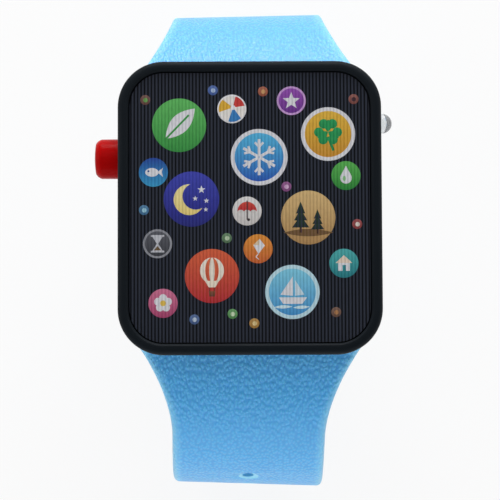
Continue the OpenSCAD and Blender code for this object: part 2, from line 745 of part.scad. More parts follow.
module door_screws() {
    color([0.7, 0.7, 0.72]) for (sx = [-1, 1])
        translate([sx * door_screw_x, cell_y, 0]) screw(door_screw_l);
}

// Strap: rounded sections carried along the curl
module sweep(runs, a, stations, l, form, tip) {
    m = 16;
    n = len(stations);
    points = [
        for (s = stations)
            let (p = at(runs, s, a), t = thick_at(s), k = tip ? tip_at(s, l) : 1)
            let (hw = width_at(s, l, form) / 2 * k, hn = t / 2, e = min(strap_edge_r, hn - 0.05))
            for (q = [0 : 3], c = [0 : 3])
                let (g = 90 * q + 30 * c, sx = (q == 0 || q == 3) ? 1 : -1, sn = q < 2 ? 1 : -1)
                let (x = sx * (hw - e) + e * cos(g), d = sn * (hn - e) + e * sin(g))
                [x, p[0] + d * sin(p[2]), p[1] + d * cos(p[2])]
    ];
    faces = concat(
        [[for (j = [m - 1 : -1 : 0]) j], [for (j = [0 : m - 1]) (n - 1) * m + j]],
        [for (i = [0 : n - 2], j = [0 : m - 1]) [i * m + j, i * m + (j + 1) % m, (i + 1) * m + (j + 1) % m]],
        [for (i = [0 : n - 2], j = [0 : m - 1]) [i * m + j, (i + 1) * m + (j + 1) % m, (i + 1) * m + j]]
    );
    polyhedron(points, faces, convexity = 4);
}

module across(p, d, w) {
    translate([-w / 2, p[0], p[1]]) rotate([0, 90, 0]) cylinder(d = d, h = w);
}

module strap_upper() {
    n = 36;
    stations = [for (i = [0 : n]) upper_l * i / n];
    slot = tongue_w + 2 * tongue_gap;
    slot_r = buckle_knuckle_d / 2 + tongue_room;
    color([0.5, 0.8, 0.95]) translate([0, pin_y, pin_z]) difference() {
        union() {
            sweep(upper_runs, upper_start, stations, upper_l, upper_form, false);
            across([0, 0], knuckle_d, strap_root_w);
            across(upper_end, buckle_knuckle_d, strap_end_w);
        }
        across([0, 0], spring_bar_d + 2 * bar_gap, strap_root_w + 1);
        across(upper_end, buckle_bar_d + 2 * bar_gap, strap_end_w + 1);
        translate([0, upper_end[0], upper_end[1]]) rotate([-upper_end[2], 0, 0])
            translate([-slot / 2, -slot_r, -slot_r]) cube([slot, 3 * slot_r, 2 * slot_r]);
    }
}

module strap_lower() {
    n = 38;
    body = [for (i = [0 : n]) (lower_l - tip_l) * i / n];
    tip = [for (i = [1 : 6]) lower_l - tip_l + tip_l * sin(15 * i)];
    color([0.5, 0.8, 0.95]) mirror([0, 1, 0]) translate([0, pin_y, pin_z]) difference() {
        union() {
            sweep(lower_runs, lower_start, concat(body, tip), lower_l, lower_form, true);
            across([0, 0], knuckle_d, strap_root_w);
        }
        across([0, 0], spring_bar_d + 2 * bar_gap, strap_root_w + 1);
        for (i = [0 : hole_count - 1]) {
            p = at(lower_runs, hole_first + hole_pitch * i, lower_start);
            translate([0, p[0], p[1]]) rotate([-p[2], 0, 0]) {
                cylinder(d = hole_d, h = 8, center = true);
                translate([0, 0, strap_t / 2 - 0.45]) cylinder(d1 = hole_d, d2 = hole_rim_d, h = 0.6);
            }
        }
    }
}

module spring_bars() {
    color([0.75, 0.75, 0.77]) for (sy = [-1, 1]) translate([0, sy * pin_y, pin_z]) {
        across([0, 0], spring_bar_d, pocket_w - 0.1);
        across([0, 0], spring_tip_d, pocket_w + 2 * spring_tip_l);
    }
}

// Keeper: a loop turned about the centre of the strap's curl, so that it slides along the strap
module keeper_loop() {
    r = upper_r2;
    half = strap_end_w / 2 + keeper_gap;
    low = strap_t / 2 + keeper_gap;
    high = 1.5 * strap_t + 2 * keeper_gap;
    turn = keeper_l / r * 180 / PI;
    heading = upper_end[2] - (keeper_back + keeper_l / 2) / r * 180 / PI;
    color([0.5, 0.8, 0.95]) translate([0, pin_y + upper_centre[0], pin_z + upper_centre[1]])
        rotate([90 - heading, 0, 0]) rotate([0, 90, 0]) rotate([0, 0, 90]) rotate_extrude(angle = -turn)
            translate([r + (high - low) / 2, 0]) difference() {
                rounded_plan(low + high + 2 * keeper_t, 2 * (half + keeper_t), keeper_round + keeper_t);
                rounded_plan(low + high, 2 * half, keeper_round);
            }
}

// Buckle, drawn flat from its bar along +Y with the outer side up, then turned to its heading
module at_buckle() {
    translate([0, pin_y + upper_end[0], pin_z + upper_end[1]]) rotate([-buckle_heading, 0, 0]) children();
}

module buckle_frame() {
    inner = strap_end_w / 2 + buckle_side_gap;
    outer = inner + buckle_arm_w;
    open_l = buckle_l - buckle_front_w;
    top = -0.1;
    color([0.45, 0.75, 0.92]) at_buckle() difference() {
        union() {
            translate([0, 0, top - buckle_front_t]) linear_extrude(buckle_front_t) difference() {
                translate([0, buckle_l / 2]) rounded_plan(2 * outer, buckle_l, buckle_round);
                translate([0, (open_l - buckle_knuckle_d) / 2])
                    rounded_plan(2 * inner, open_l + buckle_knuckle_d, buckle_in_r);
                translate([-outer - 1, -1]) square([2 * outer + 2, 1.6]);
            }
            for (sx = [-1, 1]) {
                translate([sx * (inner + outer) / 2 - buckle_arm_w / 2, 0, 0]) rotate([0, 90, 0])
                    cylinder(d = buckle_knuckle_d - 0.4, h = buckle_arm_w);
                translate([sx * (inner + outer) / 2 - buckle_arm_w / 2, 0, top - buckle_front_t])
                    cube([buckle_arm_w, 0.75 * buckle_knuckle_d, buckle_front_t]);
            }
        }
        across([0, 0], buckle_bar_d + 0.02, 2 * outer + 1);
        translate([-tongue_w / 2 - 0.3, buckle_l - buckle_front_w - 1, top - 0.4])
            cube([tongue_w + 0.6, buckle_front_w + 2, 1]);
    }
}

module buckle_tongue() {
    floor_z = -0.1 - 0.4 + 0.05;
    color([0.45, 0.75, 0.92]) at_buckle() difference() {
        union() {
            across([0, 0], tongue_eye_d, tongue_w);
            translate([-tongue_w / 2, 0, floor_z]) cube([tongue_w, buckle_l - 0.3, tongue_t]);
        }
        across([0, 0], buckle_bar_d + 2 * bar_gap, tongue_w + 1);
    }
}

module buckle_bar() {
    color([0.75, 0.75, 0.77]) at_buckle()
        across([0, 0], buckle_bar_d, strap_end_w + 2 * (buckle_side_gap + buckle_arm_w));
}

front_case();
rear_cover();
lenticular_screen();
screen_tape();
main_board();
chip_blob();
board_parts();
button_switch();
switch_plunger();
push_button();
led_lamp();
led_leads();
speaker_frame();
speaker_cone();
speaker_magnet();
speaker_gasket();
speaker_wires();
button_cells();
spring_contacts();
door_contacts();
battery_wires();
battery_door();
door_screws();
case_screws();
strap_upper();
strap_lower();
spring_bars();
keeper_loop();
buckle_frame();
buckle_tongue();
buckle_bar();
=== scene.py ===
from contextlib import contextmanager
from math import copysign, cos, degrees, hypot, pi, radians, sin, sqrt

import bmesh
import bpy
import numpy as np
from mathutils import Matrix, Vector, geometry


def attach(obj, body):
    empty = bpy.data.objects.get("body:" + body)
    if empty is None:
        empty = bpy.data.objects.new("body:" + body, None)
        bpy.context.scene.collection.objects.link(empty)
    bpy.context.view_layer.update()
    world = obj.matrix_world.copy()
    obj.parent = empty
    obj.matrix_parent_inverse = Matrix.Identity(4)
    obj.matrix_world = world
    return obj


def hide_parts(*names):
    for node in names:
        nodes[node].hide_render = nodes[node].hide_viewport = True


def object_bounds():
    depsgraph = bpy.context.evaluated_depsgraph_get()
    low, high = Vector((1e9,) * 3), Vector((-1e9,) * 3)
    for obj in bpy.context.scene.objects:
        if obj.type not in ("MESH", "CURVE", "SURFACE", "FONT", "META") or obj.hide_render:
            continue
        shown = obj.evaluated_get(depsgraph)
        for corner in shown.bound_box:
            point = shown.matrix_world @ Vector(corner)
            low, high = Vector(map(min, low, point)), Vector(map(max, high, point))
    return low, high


# Toy wrist watch in metres. The face looks along +Z, twelve o'clock is +Y and the lamp is on +X.
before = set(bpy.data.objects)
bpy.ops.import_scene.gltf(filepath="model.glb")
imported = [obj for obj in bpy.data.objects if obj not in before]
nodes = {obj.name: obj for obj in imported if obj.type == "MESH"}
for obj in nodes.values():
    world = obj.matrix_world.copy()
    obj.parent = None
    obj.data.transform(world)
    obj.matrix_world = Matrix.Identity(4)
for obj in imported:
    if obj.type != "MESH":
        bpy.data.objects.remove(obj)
cad_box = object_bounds()
MM = 0.001

# Sizes repeated from the solids, in millimetres and degrees
CASE_W = 39.0
CASE_L = 43.6
CASE_H = 12.4
CASE_CORNER = 6.8
COVER_ROUND = 1.2
RIM_TOP = 11.4
SCREEN_W = 35.4
SCREEN_L = 40.0
SCREEN_CORNER = 5.0
RIB_PITCH = 0.508
RIB_RADIUS = 0.4
RIB_CREST = 11.95
SHEET_BACK = 11.05
PIN_Y = 18.9
PIN_Z = 3.8
POCKET_HALF = 17.0
ROOT_W = 33.4
STRAP_W = 23.1
END_W = 20.0
UPPER_FORM = (1.2, 17.0, 17.0)
LOWER_FORM = (0.8, 15.5, 34.0)
STRAP_T = 2.4
ROOT_T = 4.2
ROOT_TAPER = 8.0
EDGE_ROUND = 0.9
ROOT_KNUCKLE = 2.5
BUCKLE_KNUCKLE = 2.1
BUCKLE_NECK = 3.3
KEEPER_ROOM = 17.5
TAIL_TIP = 8.0
UPPER_HEADING = 18.7
UPPER_RUNS = [(19.4, 71.3), (31.5, 70.0)]
LOWER_HEADING = 9.0
LOWER_RUNS = [(23.7, 81.0), (25.2, 84.0), (120.0, 4.0)]
HOLE_FIRST = 27.0
HOLE_PITCH = 6.5
HOLE_COUNT = 7
HOLE_BORE = 1.8
TONGUE_SLOT = 2.8
SIDE_Z = 6.0
LAMP_Y = 13.2
LAMP_BASE = 15.75
BUTTON_Y = 8.0
BUTTON_R = 3.0
BUTTON_TIP = -23.15
BUTTON_ROUND = 1.1

# Sizes of the finish alone, in millimetres
END_DRAFT = 0.7
SKIN_DEPTH = 0.04
PIN_REACH = 17.25
PIN_SEAT = 17.35
SEAT_R = 0.6
SEAT_SLACK = 0.05
CAP_ROUND = 1.45
UPPER_EDGE_ROUND = 0.45
UPPER_LAY = (0.45, -0.33)
LOWER_LAY = (0.8, -0.5)
LAY_START = 3.0
LAY_FADE = 22.0
HOLE_RIM = 3.4
HOLE_RIM_DEPTH = 0.3
CUT_PAST = 0.04
BORE_SLACK = 0.02
SLOT_PAST = 1.2
THIN_EDGE = 1.8
CORE_GAP = 0.6
DRILL_DEPTH = 8.0
NECK_GAP = 0.1
KNUCKLE_BLEND = 0.12

# Shares and counts of the finish
GRAIN_DRAW = (1.6, 0.95, 1.0)
# Share of painted light on the bores' walls, against their shade
BORE_LIGHT = 0.85
DISH_SLOPE = 0.985
SINK_SHARE = 0.9
EDGE_SHARE = 0.98
TIP_LEAST = 0.0006
CORNER_POINTS = 7
UPPER_STEPS = 150
NECK_STEPS = 26
LOWER_STEPS = 160
TIP_STEPS = 30
HOLE_SIDES = 40
CORE_SIDES = 24
RIB_SLICES = 6

# Points nearer than this are one, in a mesh in metres and in the picture in millimetres
WELD = 1e-6
PICTURE_WELD = 1e-5

# Angles in degrees under which faces are one, and over which they meet in an edge
FLAT_ANGLE = 0.4
EDGE_ANGLE = 34.0
STRAP_EDGE_ANGLE = 32.0
ROUND_EDGE_ANGLE = 40.0

# Camera as matched to the photograph, in metres, degrees and pixels of its frame
CAMERA_FAR = 0.4375
CAMERA_TILT = 7.0
CAMERA_ROLL = -0.24
FOCAL_PIXELS = 2973
AIM_PIXELS = 43.4
FRAME_PIXELS = 500
SENSOR_W = 36

# Stage: floor in metres and the studio's levels, from the sides up to the height where it is dim
FLOOR_GAP = 0.0002
FLOOR_HALF = 3
FLOOR_GLOW = 0.88
SKY_SIDE = 1.0
SKY_ROOF = 0.2
SKY_FADE = (0.12, 0.55)


# Node helpers
def put(tree, kind, values=None, **settings):
    """Adds a node with its settings, and fills its inputs with values or links."""
    node = tree.nodes.new(kind)
    for name, value in settings.items():
        setattr(node, name, value)
    for key, value in (values or {}).items():
        if isinstance(value, bpy.types.NodeSocket):
            tree.links.new(value, node.inputs[key])
        else:
            node.inputs[key].default_value = value
    return node


def take(tree, kind, values=None, socket=0, **settings):
    """Adds a node and hands on one of its outputs."""
    return put(tree, kind, values, **settings).outputs[socket]


def give(tree, node, **sockets):
    for label, socket in sockets.items():
        tree.links.new(socket, node.inputs[label.replace("_", " ")])


def calc(tree, operation, *values):
    return take(tree, "ShaderNodeMath", dict(enumerate(values)), operation=operation)


def vector_calc(tree, operation, *values):
    return take(tree, "ShaderNodeVectorMath", dict(enumerate(values)), operation=operation)


def scaled(tree, vector, share):
    return take(tree, "ShaderNodeVectorMath", {0: vector, "Scale": share}, operation="SCALE")


def point(tree, x=0.0, y=0.0, z=0.0):
    return take(tree, "ShaderNodeCombineXYZ", {0: x, 1: y, 2: z})


def axes_of(tree, vector):
    return put(tree, "ShaderNodeSeparateXYZ", {0: vector}).outputs


def spread(tree, value, low, high, first=0.0, last=1.0, soft=False):
    """Carries a value from the range first to last over to the range low to high."""
    return take(tree, "ShaderNodeMapRange", {
        "Value": value, "From Min": first, "From Max": last, "To Min": low, "To Max": high,
    }, "Result", interpolation_type="SMOOTHSTEP" if soft else "LINEAR")


def noise(tree, place, scale, detail, socket="Fac", **more):
    values = {"Vector": place, "Scale": scale, "Detail": detail, **more}
    return take(tree, "ShaderNodeTexNoise", values, socket)


def object_place(tree):
    return take(tree, "ShaderNodeTexCoord", socket="Object")


def surface(tree, name, socket="Fac"):
    return take(tree, "ShaderNodeAttribute", socket=socket, attribute_name=name)


def mix_colours(tree, share, a, b, **settings):
    return take(tree, "ShaderNodeMix", {0: share, 6: a, 7: b}, 2, data_type="RGBA", **settings)


def shaded(tree, colour, value):
    return take(tree, "ShaderNodeHueSaturation", {"Color": colour, "Value": value}, "Color")


def new_group(name, inputs, outputs, kind="ShaderNodeTree"):
    tree = bpy.data.node_groups.new(name, kind)
    for label, socket, *value in inputs:
        item = tree.interface.new_socket(label, in_out="INPUT", socket_type="NodeSocket" + socket)
        if value:
            item.default_value = value[0]
    for label, socket in outputs:
        tree.interface.new_socket(label, in_out="OUTPUT", socket_type="NodeSocket" + socket)
    return tree, tree.nodes.new("NodeGroupInput").outputs, tree.nodes.new("NodeGroupOutput")


def new_shape_tree(name, sizes):
    inputs = [("Geometry", "Geometry")] + sizes + [("Finish", "Material")]
    return new_group(name, inputs, [("Geometry", "Geometry")], "GeometryNodeTree")


def end_shape_tree(tree, given, end, shape):
    """Ends a tree in real faces that carry the finish it was given."""
    real = take(tree, "GeometryNodeRealizeInstances", {"Geometry": shape})
    finished = take(tree, "GeometryNodeSetMaterial", {"Geometry": real, "Material": given["Finish"]})
    give(tree, end, Geometry=finished)
    return tree


def read_named(tree, label, kind="FLOAT_VECTOR"):
    return take(tree, "GeometryNodeInputNamedAttribute", {"Name": label}, data_type=kind)


def keep_named(tree, shape, label, value, kind="FLOAT", domain="CORNER"):
    return take(tree, "GeometryNodeStoreNamedAttribute", {"Geometry": shape, "Name": label, "Value": value},
                data_type=kind, domain=domain)


def linear(*rgb):
    """A colour written from 0 to 255, as the shaders take it."""
    return tuple((c / 255 / 12.92) if c <= 10 else ((c / 255 + 0.055) / 1.055) ** 2.4 for c in rgb) + (1.0,)


# Mesh helpers
def new_object(name, data):
    thing = bpy.data.objects.new(name, data)
    bpy.context.scene.collection.objects.link(thing)
    return thing


def set_finish(mesh, finish):
    mesh.materials.clear()
    mesh.materials.append(finish)


def smooth(mesh, angle):
    mesh.shade_smooth()
    mesh.set_sharp_from_angle(angle=radians(angle))


@contextmanager
def opened(mesh):
    """Opens a mesh for work on its faces and writes it back."""
    work = bmesh.new()
    work.from_mesh(mesh)
    yield work
    work.to_mesh(mesh)
    work.free()


def settle(piece):
    """Turns a piece with modifiers into a plain mesh with no flat faces."""
    bpy.context.view_layer.update()
    graph = bpy.context.evaluated_depsgraph_get()
    mesh = bpy.data.meshes.new_from_object(piece.evaluated_get(graph))
    piece.modifiers.clear()
    piece.data = mesh
    with opened(mesh) as work:
        bmesh.ops.remove_doubles(work, verts=work.verts, dist=2 * WELD)
        bmesh.ops.dissolve_degenerate(work, edges=work.edges, dist=WELD)
        many_sided = [f for f in work.faces if len(f.verts) > 4]
        bmesh.ops.triangulate(work, faces=many_sided, ngon_method="BEAUTY")
    return mesh


def run_tree(piece, tree, **inputs):
    modifier = piece.modifiers.new(tree.name, "NODES")
    modifier.node_group = tree
    sockets = {s.name: s.identifier for s in tree.interface.items_tree if s.in_out == "INPUT"}
    for label, value in inputs.items():
        modifier[sockets[label.replace("_", " ")]] = value
    return settle(piece)


# Shared effects
def make_tint_drift():
    """Slow change of a colour over a moulded piece."""
    tree, given, end = new_group(
        "tint drift",
        [("Colour", "Color"), ("Size", "Float", 90.0), ("Amount", "Float")],
        [("Colour", "Color")],
    )
    cloud = noise(tree, object_place(tree), given["Size"], 3.0)
    swing = calc(tree, "MULTIPLY", calc(tree, "SUBTRACT", cloud, 0.5), given["Amount"])
    give(tree, end, Colour=shaded(tree, given["Colour"], calc(tree, "ADD", swing, 1.0)))
    return tree


def make_moulded_skin():
    """Fine spark-eroded skin of moulded plastic, with paths of handling."""
    tree, given, end = new_group(
        "moulded skin",
        [("Grain", "Float"), ("Dull", "Float"), ("Polished", "Float")],
        [("Roughness", "Float"), ("Height", "Float")],
    )
    place = object_place(tree)
    rub = noise(tree, place, 220.0, 4.0, Distortion=0.6)
    share = spread(tree, rub, given["Polished"], given["Dull"], 0.35, 0.65)
    give(tree, end, Roughness=share, Height=noise(tree, place, given["Grain"], 2.0))
    return tree


def make_pebble_grain():
    """Leather-like pebbles with soft creases between them, on a flattened skin."""
    tree, given, end = new_group(
        "pebble grain",
        [("Place", "Vector"), ("Pebbles per metre", "Float", 1400.0)],
        [("Height", "Float"), ("Crease", "Float"), ("Mottle", "Float")],
    )
    place = given["Place"]
    push = vector_calc(tree, "SUBTRACT", noise(tree, place, 700.0, 2.0, "Color"), (0.5, 0.5, 0.5))
    warped = vector_calc(tree, "ADD", place, scaled(tree, push, 0.0004))
    far = take(tree, "ShaderNodeTexVoronoi", {
        "Vector": warped, "Scale": given["Pebbles per metre"], "Randomness": 0.95, "Smoothness": 0.3,
    }, "Distance", voronoi_dimensions="2D", feature="SMOOTH_F1")
    dome = spread(tree, far, 1.0, 0.0, 0.05, 0.7, soft=True)
    pores = calc(tree, "MULTIPLY", noise(tree, place, 5200.0, 2.0), 0.1)
    give(tree, end, Height=calc(tree, "ADD", dome, pores), Crease=calc(tree, "SUBTRACT", 1.0, dome),
         Mottle=noise(tree, place, 260.0, 3.0))
    return tree


def make_drawn_metal():
    """Fine drawing lines and dull spots of small steel and brass parts."""
    tree, given, end = new_group(
        "drawn metal",
        [("Colour", "Color"), ("Bright", "Float"), ("Dull", "Float")],
        [("Colour", "Color"), ("Roughness", "Float"), ("Height", "Float")],
    )
    place = object_place(tree)
    stretch = take(tree, "ShaderNodeMapping", {"Vector": place, "Scale": (1500.0, 9000.0, 9000.0)})
    spots = noise(tree, place, 700.0, 3.0)
    give(tree, end, Colour=shaded(tree, given["Colour"], spread(tree, spots, 0.82, 1.1)),
         Roughness=spread(tree, spots, given["Bright"], given["Dull"], 0.3, 0.7),
         Height=noise(tree, stretch, 1.0, 2.0))
    return tree


TINT_DRIFT = make_tint_drift()
MOULDED_SKIN = make_moulded_skin()
PEBBLE_GRAIN = make_pebble_grain()
DRAWN_METAL = make_drawn_metal()


# Finishes
def new_finish(name, **plain):
    material = bpy.data.materials.new(name)
    material.use_nodes = True
    shader = material.node_tree.nodes["Principled BSDF"]
    for label, value in plain.items():
        shader.inputs[label.replace("_", " ")].default_value = value
    return material, material.node_tree, shader


def effect(tree, group, **values):
    """Adds a shared effect and hands on its outputs."""
    return put(tree, "ShaderNodeGroup", values, node_tree=group).outputs


def bump(tree, shader, height, depth):
    values = {"Height": height, "Strength": 1.0, "Distance": depth}
    give(tree, shader, Normal=take(tree, "ShaderNodeBump", values))


def moulded(name, rgb, dull, polished, grain=9000.0, depth=4e-6, drift=0.12, **plain):
    material, tree, shader = new_finish(name, **plain)
    tint = effect(tree, TINT_DRIFT, Colour=linear(*rgb), Amount=drift)["Colour"]
    skin = effect(tree, MOULDED_SKIN, Grain=grain, Dull=dull, Polished=polished)
    give(tree, shader, Base_Color=tint, Roughness=skin["Roughness"])
    bump(tree, shader, skin["Height"], depth)
    return material


def metal(name, rgb, bright, dull, depth=2e-6):
    material, tree, shader = new_finish(name, Metallic=1.0)
    drawn = effect(tree, DRAWN_METAL, Colour=linear(*rgb), Bright=bright, Dull=dull)
    give(tree, shader, Base_Color=drawn["Colour"], Roughness=drawn["Roughness"])
    bump(tree, shader, drawn["Height"], depth)
    return material


def grained_vinyl(name, rgb, crease_shade_rgb, edge_light_rgb, depth):
    """Soft strap vinyl: pebbled, darker in the creases from painted shade, and paler from painted light
    where the edges are thin, round the holes and in the bores.
    """
    material, tree, shader = new_finish(
        name, Subsurface_Weight=0.25, Subsurface_Radius=(0.5, 1.0, 1.4), Subsurface_Scale=0.0012,
        Specular_IOR_Level=1.0, Sheen_Weight=0.3, Sheen_Roughness=0.45,
    )
    skin = take(tree, "ShaderNodeUVMap", uv_map="unrolled")
    drawn = take(tree, "ShaderNodeMapping", {"Vector": skin, "Scale": GRAIN_DRAW})
    grain = effect(tree, PEBBLE_GRAIN, Place=drawn)
    tint = effect(tree, TINT_DRIFT, Colour=linear(*rgb), Amount=0.08)["Colour"]
    # Painted shade: the creases between the pebbles are darkened towards the crease shade colour
    colour = mix_colours(tree, calc(tree, "MULTIPLY", grain["Crease"], 0.5), tint, linear(*crease_shade_rgb))
    # Painted light: the thin edges, where light shows through the vinyl, and the hole rims and bores are
    # lightened towards the edge light colour
    off = calc(tree, "ABSOLUTE", surface(tree, "across"))
    inside_edge = calc(tree, "SUBTRACT", surface(tree, "edge reach"), off)
    thin = spread(tree, inside_edge, 0.6, 0.0, 0.0, THIN_EDGE * MM, soft=True)
    pale = calc(tree, "MAXIMUM", thin, surface(tree, "hole rim light"))
    give(tree, shader, Base_Color=mix_colours(tree, pale, colour, linear(*edge_light_rgb)),
         Roughness=spread(tree, grain["Mottle"], 0.36, 0.54))
    bump(tree, shader, grain["Height"], depth)
    return material


def printed_sheet(crest_highlight_rgb):
    """The ribbed sheet: the printed picture, with painted shade between the ribs and a painted grey
    highlight along their crests.
    """
    material, tree, shader = new_finish("printed ribbed sheet with painted rib light", Specular_IOR_Level=0.1)
    place = object_place(tree)
    across = axes_of(tree, place)["X"]
    far = calc(tree, "PINGPONG", calc(tree, "DIVIDE", across, RIB_PITCH * MM), 0.5)
    # Painted light on the ribs: full at the crests, none in the valleys
    crest = spread(tree, far, 1.0, 0.0, 0.12, 0.42, soft=True)
    wear = noise(tree, place, 1500.0, 3.0)
    # Painted shade towards the valleys between the ribs, times a random wear tone
    value = calc(tree, "MULTIPLY", spread(tree, crest, 0.84, 1.0), spread(tree, wear, 0.86, 1.1))
    picture_with_rib_shade = shaded(tree, surface(tree, "picture", "Color"), value)
    # Painted highlight: the crests are lifted to no less than the highlight grey
    colour = mix_colours(tree, crest, picture_with_rib_shade, linear(*crest_highlight_rgb), blend_type="LIGHTEN")
    give(tree, shader, Base_Color=colour, Roughness=spread(tree, wear, 0.26, 0.42))
    return material


def clear_resin():
    material, tree, shader = new_finish(
        "milky lamp resin", Base_Color=(0.95, 0.98, 1.0, 1.0), Transmission_Weight=0.75, IOR=1.3,
    )
    cloud = noise(tree, object_place(tree), 1800.0, 3.0)
    give(tree, shader, Roughness=spread(tree, cloud, 0.02, 0.09))
    return material


CASE_BLACK = moulded("case black plastic", (24, 29, 34), 0.5, 0.4, Specular_IOR_Level=0.05)
# Base colour, then the painted crease shade, then the painted light of the thin edges and hole rims
STRAP_BLUE = grained_vinyl("strap blue vinyl", (70, 185, 246), (36, 145, 226), (135, 216, 250), 8.0e-5)
KEEPER_BLUE = moulded("keeper blue vinyl", (80, 178, 230), 0.56, 0.42, grain=2600.0, depth=3e-5,
                      Subsurface_Weight=0.2, Subsurface_Radius=(0.5, 1.0, 1.4), Subsurface_Scale=0.001)
BUCKLE_BLUE = moulded("buckle blue plastic", (98, 178, 230), 0.4, 0.28, Subsurface_Weight=0.15,
                      Subsurface_Radius=(0.4, 0.8, 1.2), Subsurface_Scale=0.001)
BUTTON_RED = moulded("button red plastic", (182, 8, 9), 0.3, 0.2, drift=0.08, Specular_IOR_Level=0.04)
# Grey of the painted highlight along the rib crests
SCREEN_PRINT_AND_RIB_LIGHT = printed_sheet((50, 55, 67))
LAMP_CLEAR = clear_resin()
STEEL = metal("plated steel", (196, 198, 202), 0.2, 0.42)
CELL_STEEL = metal("cell steel", (208, 208, 206), 0.16, 0.34)
BRASS = metal("plated brass", (214, 196, 150), 0.25, 0.5)
MAGNET = metal("magnet plate", (150, 150, 152), 0.3, 0.55)
BOARD_GREEN = moulded("board green lacquer", (24, 92, 56), 0.4, 0.25, grain=2500.0)
RESIN_BLACK = moulded("chip resin", (16, 16, 17), 0.5, 0.3, grain=3000.0)
PART_TAN = moulded("board part ceramic", (168, 140, 96), 0.6, 0.4, grain=5000.0)
SWITCH_BLACK = moulded("switch plastic", (34, 34, 36), 0.6, 0.4)
PLUNGER_WHITE = moulded("plunger plastic", (226, 222, 208), 0.55, 0.4)
TAPE_CREAM = moulded("tape", (222, 214, 190), 0.8, 0.6, grain=4000.0)
CONE_PAPER = moulded("cone paper", (52, 48, 44), 0.95, 0.8, grain=3000.0, depth=2e-5)
FOAM_GREY = moulded("foam ring", (38, 38, 40), 0.98, 0.85, grain=2500.0, depth=4e-5)
WIRE_RED = moulded("wire red", (178, 34, 28), 0.5, 0.35)
WIRE_BLACK = moulded("wire black", (26, 26, 27), 0.5, 0.35)


# Strap: a rounded section carried along the curl
SPINE_FIELDS = ("centre", "outer", "lay", "run", "half width", "half thickness")


def strap_point(runs, heading, s):
    """Distance out from the spring bar, height and heading at a length along the strap."""
    turned = heading
    if s < 0:
        return s * cos(radians(turned)), -s * sin(radians(turned)), turned
    out, up = 0.0, 0.0
    for step, (radius, turn) in enumerate(runs):
        length = radius * radians(turn)
        last = step == len(runs) - 1
        bend = degrees(s / radius) if s <= length or last else turn
        a, b = radians(turned), radians(turned + bend)
        out += radius * (sin(b) - sin(a))
        up += radius * (cos(b) - cos(a))
        turned += bend
        if s <= length or last:
            return out, up, turned
        s -= length


def run_length(runs):
    return sum(radius * radians(turn) for radius, turn in runs)


def strap_width(s, length, form):
    """Width from the form: the lengths of the full root and of the flare, and where the narrowing starts."""
    root, flare, narrow = form
    flared = min(1.0, max(0.0, 1 - (s - root) / flare))
    share = min(1.0, max(0.0, (s - narrow) / (length - narrow - KEEPER_ROOM)))
    return STRAP_W + (ROOT_W - STRAP_W) * flared ** 2 - (STRAP_W - END_W) * share


def strap_thickness(s):
    return ROOT_T + (STRAP_T - ROOT_T) * sin(radians(90 * min(1.0, max(0.0, s) / ROOT_TAPER)))


def knuckle_half(s, centre, radius):
    return sqrt(max(0.0, radius ** 2 - (s - centre) ** 2))


def joined_half(flat, knuckle):
    """Half thickness where the flat strap runs softly into a knuckle."""
    if not flat or not knuckle:
        return max(flat, knuckle)
    return (flat + knuckle + hypot(flat - knuckle, KNUCKLE_BLEND)) / 2


def root_steps():
    return [-ROOT_KNUCKLE * cos(radians(t)) for t in range(8, 90, 8)]


def upper_stations():
    """Length along, half width and half thickness at each step from the case to the buckle."""
    length = run_length(UPPER_RUNS)
    body = list(np.linspace(0, length - BUCKLE_NECK - NECK_GAP, UPPER_STEPS))
    neck = list(np.linspace(length - BUCKLE_NECK, length, NECK_STEPS))
    end = [length + BUCKLE_KNUCKLE * sin(radians(t)) for t in range(8, 86, 7)]
    rows = []
    for s in root_steps() + body + neck + end:
        flat = strap_thickness(s) / 2 if 0 <= s <= length else 0.0
        knuckle = max(knuckle_half(s, 0, ROOT_KNUCKLE), knuckle_half(s, length, BUCKLE_KNUCKLE))
        rows.append((s, strap_width(s, length, UPPER_FORM) / 2, joined_half(flat, knuckle)))
    return rows


def lower_stations():
    """Length along, half width and half thickness at each step from the case to the tip."""
    length = run_length(LOWER_RUNS)
    body = list(np.linspace(0, length - TAIL_TIP, LOWER_STEPS))
    tip = [length - TAIL_TIP + TAIL_TIP * sin(radians(t)) for t in np.linspace(3, 90, TIP_STEPS)]
    rows = []
    for s in root_steps() + body + tip:
        flat = strap_thickness(s) / 2 if s >= 0 else 0.0
        thick = joined_half(flat, knuckle_half(s, 0, ROOT_KNUCKLE))
        reach = max(0.0, (s - length + TAIL_TIP) / TAIL_TIP)
        plan = sqrt(max(TIP_LEAST, 1 - reach ** 2))
        nose = max(0.0, s - length + EDGE_ROUND)
        thick -= EDGE_ROUND - sqrt(max(0.0, EDGE_ROUND ** 2 - nose ** 2)) if nose else 0.0
        rows.append((s, strap_width(s, length, LOWER_FORM) / 2 * plan, thick))
    return rows


def crest_swell(runs, s):
    """Share of the lay at a length along the strap: full at the crest, none at the case and the buckle."""
    crest = runs[0][0] * radians(runs[0][1])
    if s > crest:
        return cos(pi / 2 * min(1.0, (s - crest) / LAY_FADE))
    return sin(pi / 2 * max(0.0, (s - LAY_START) / (crest - LAY_START)))


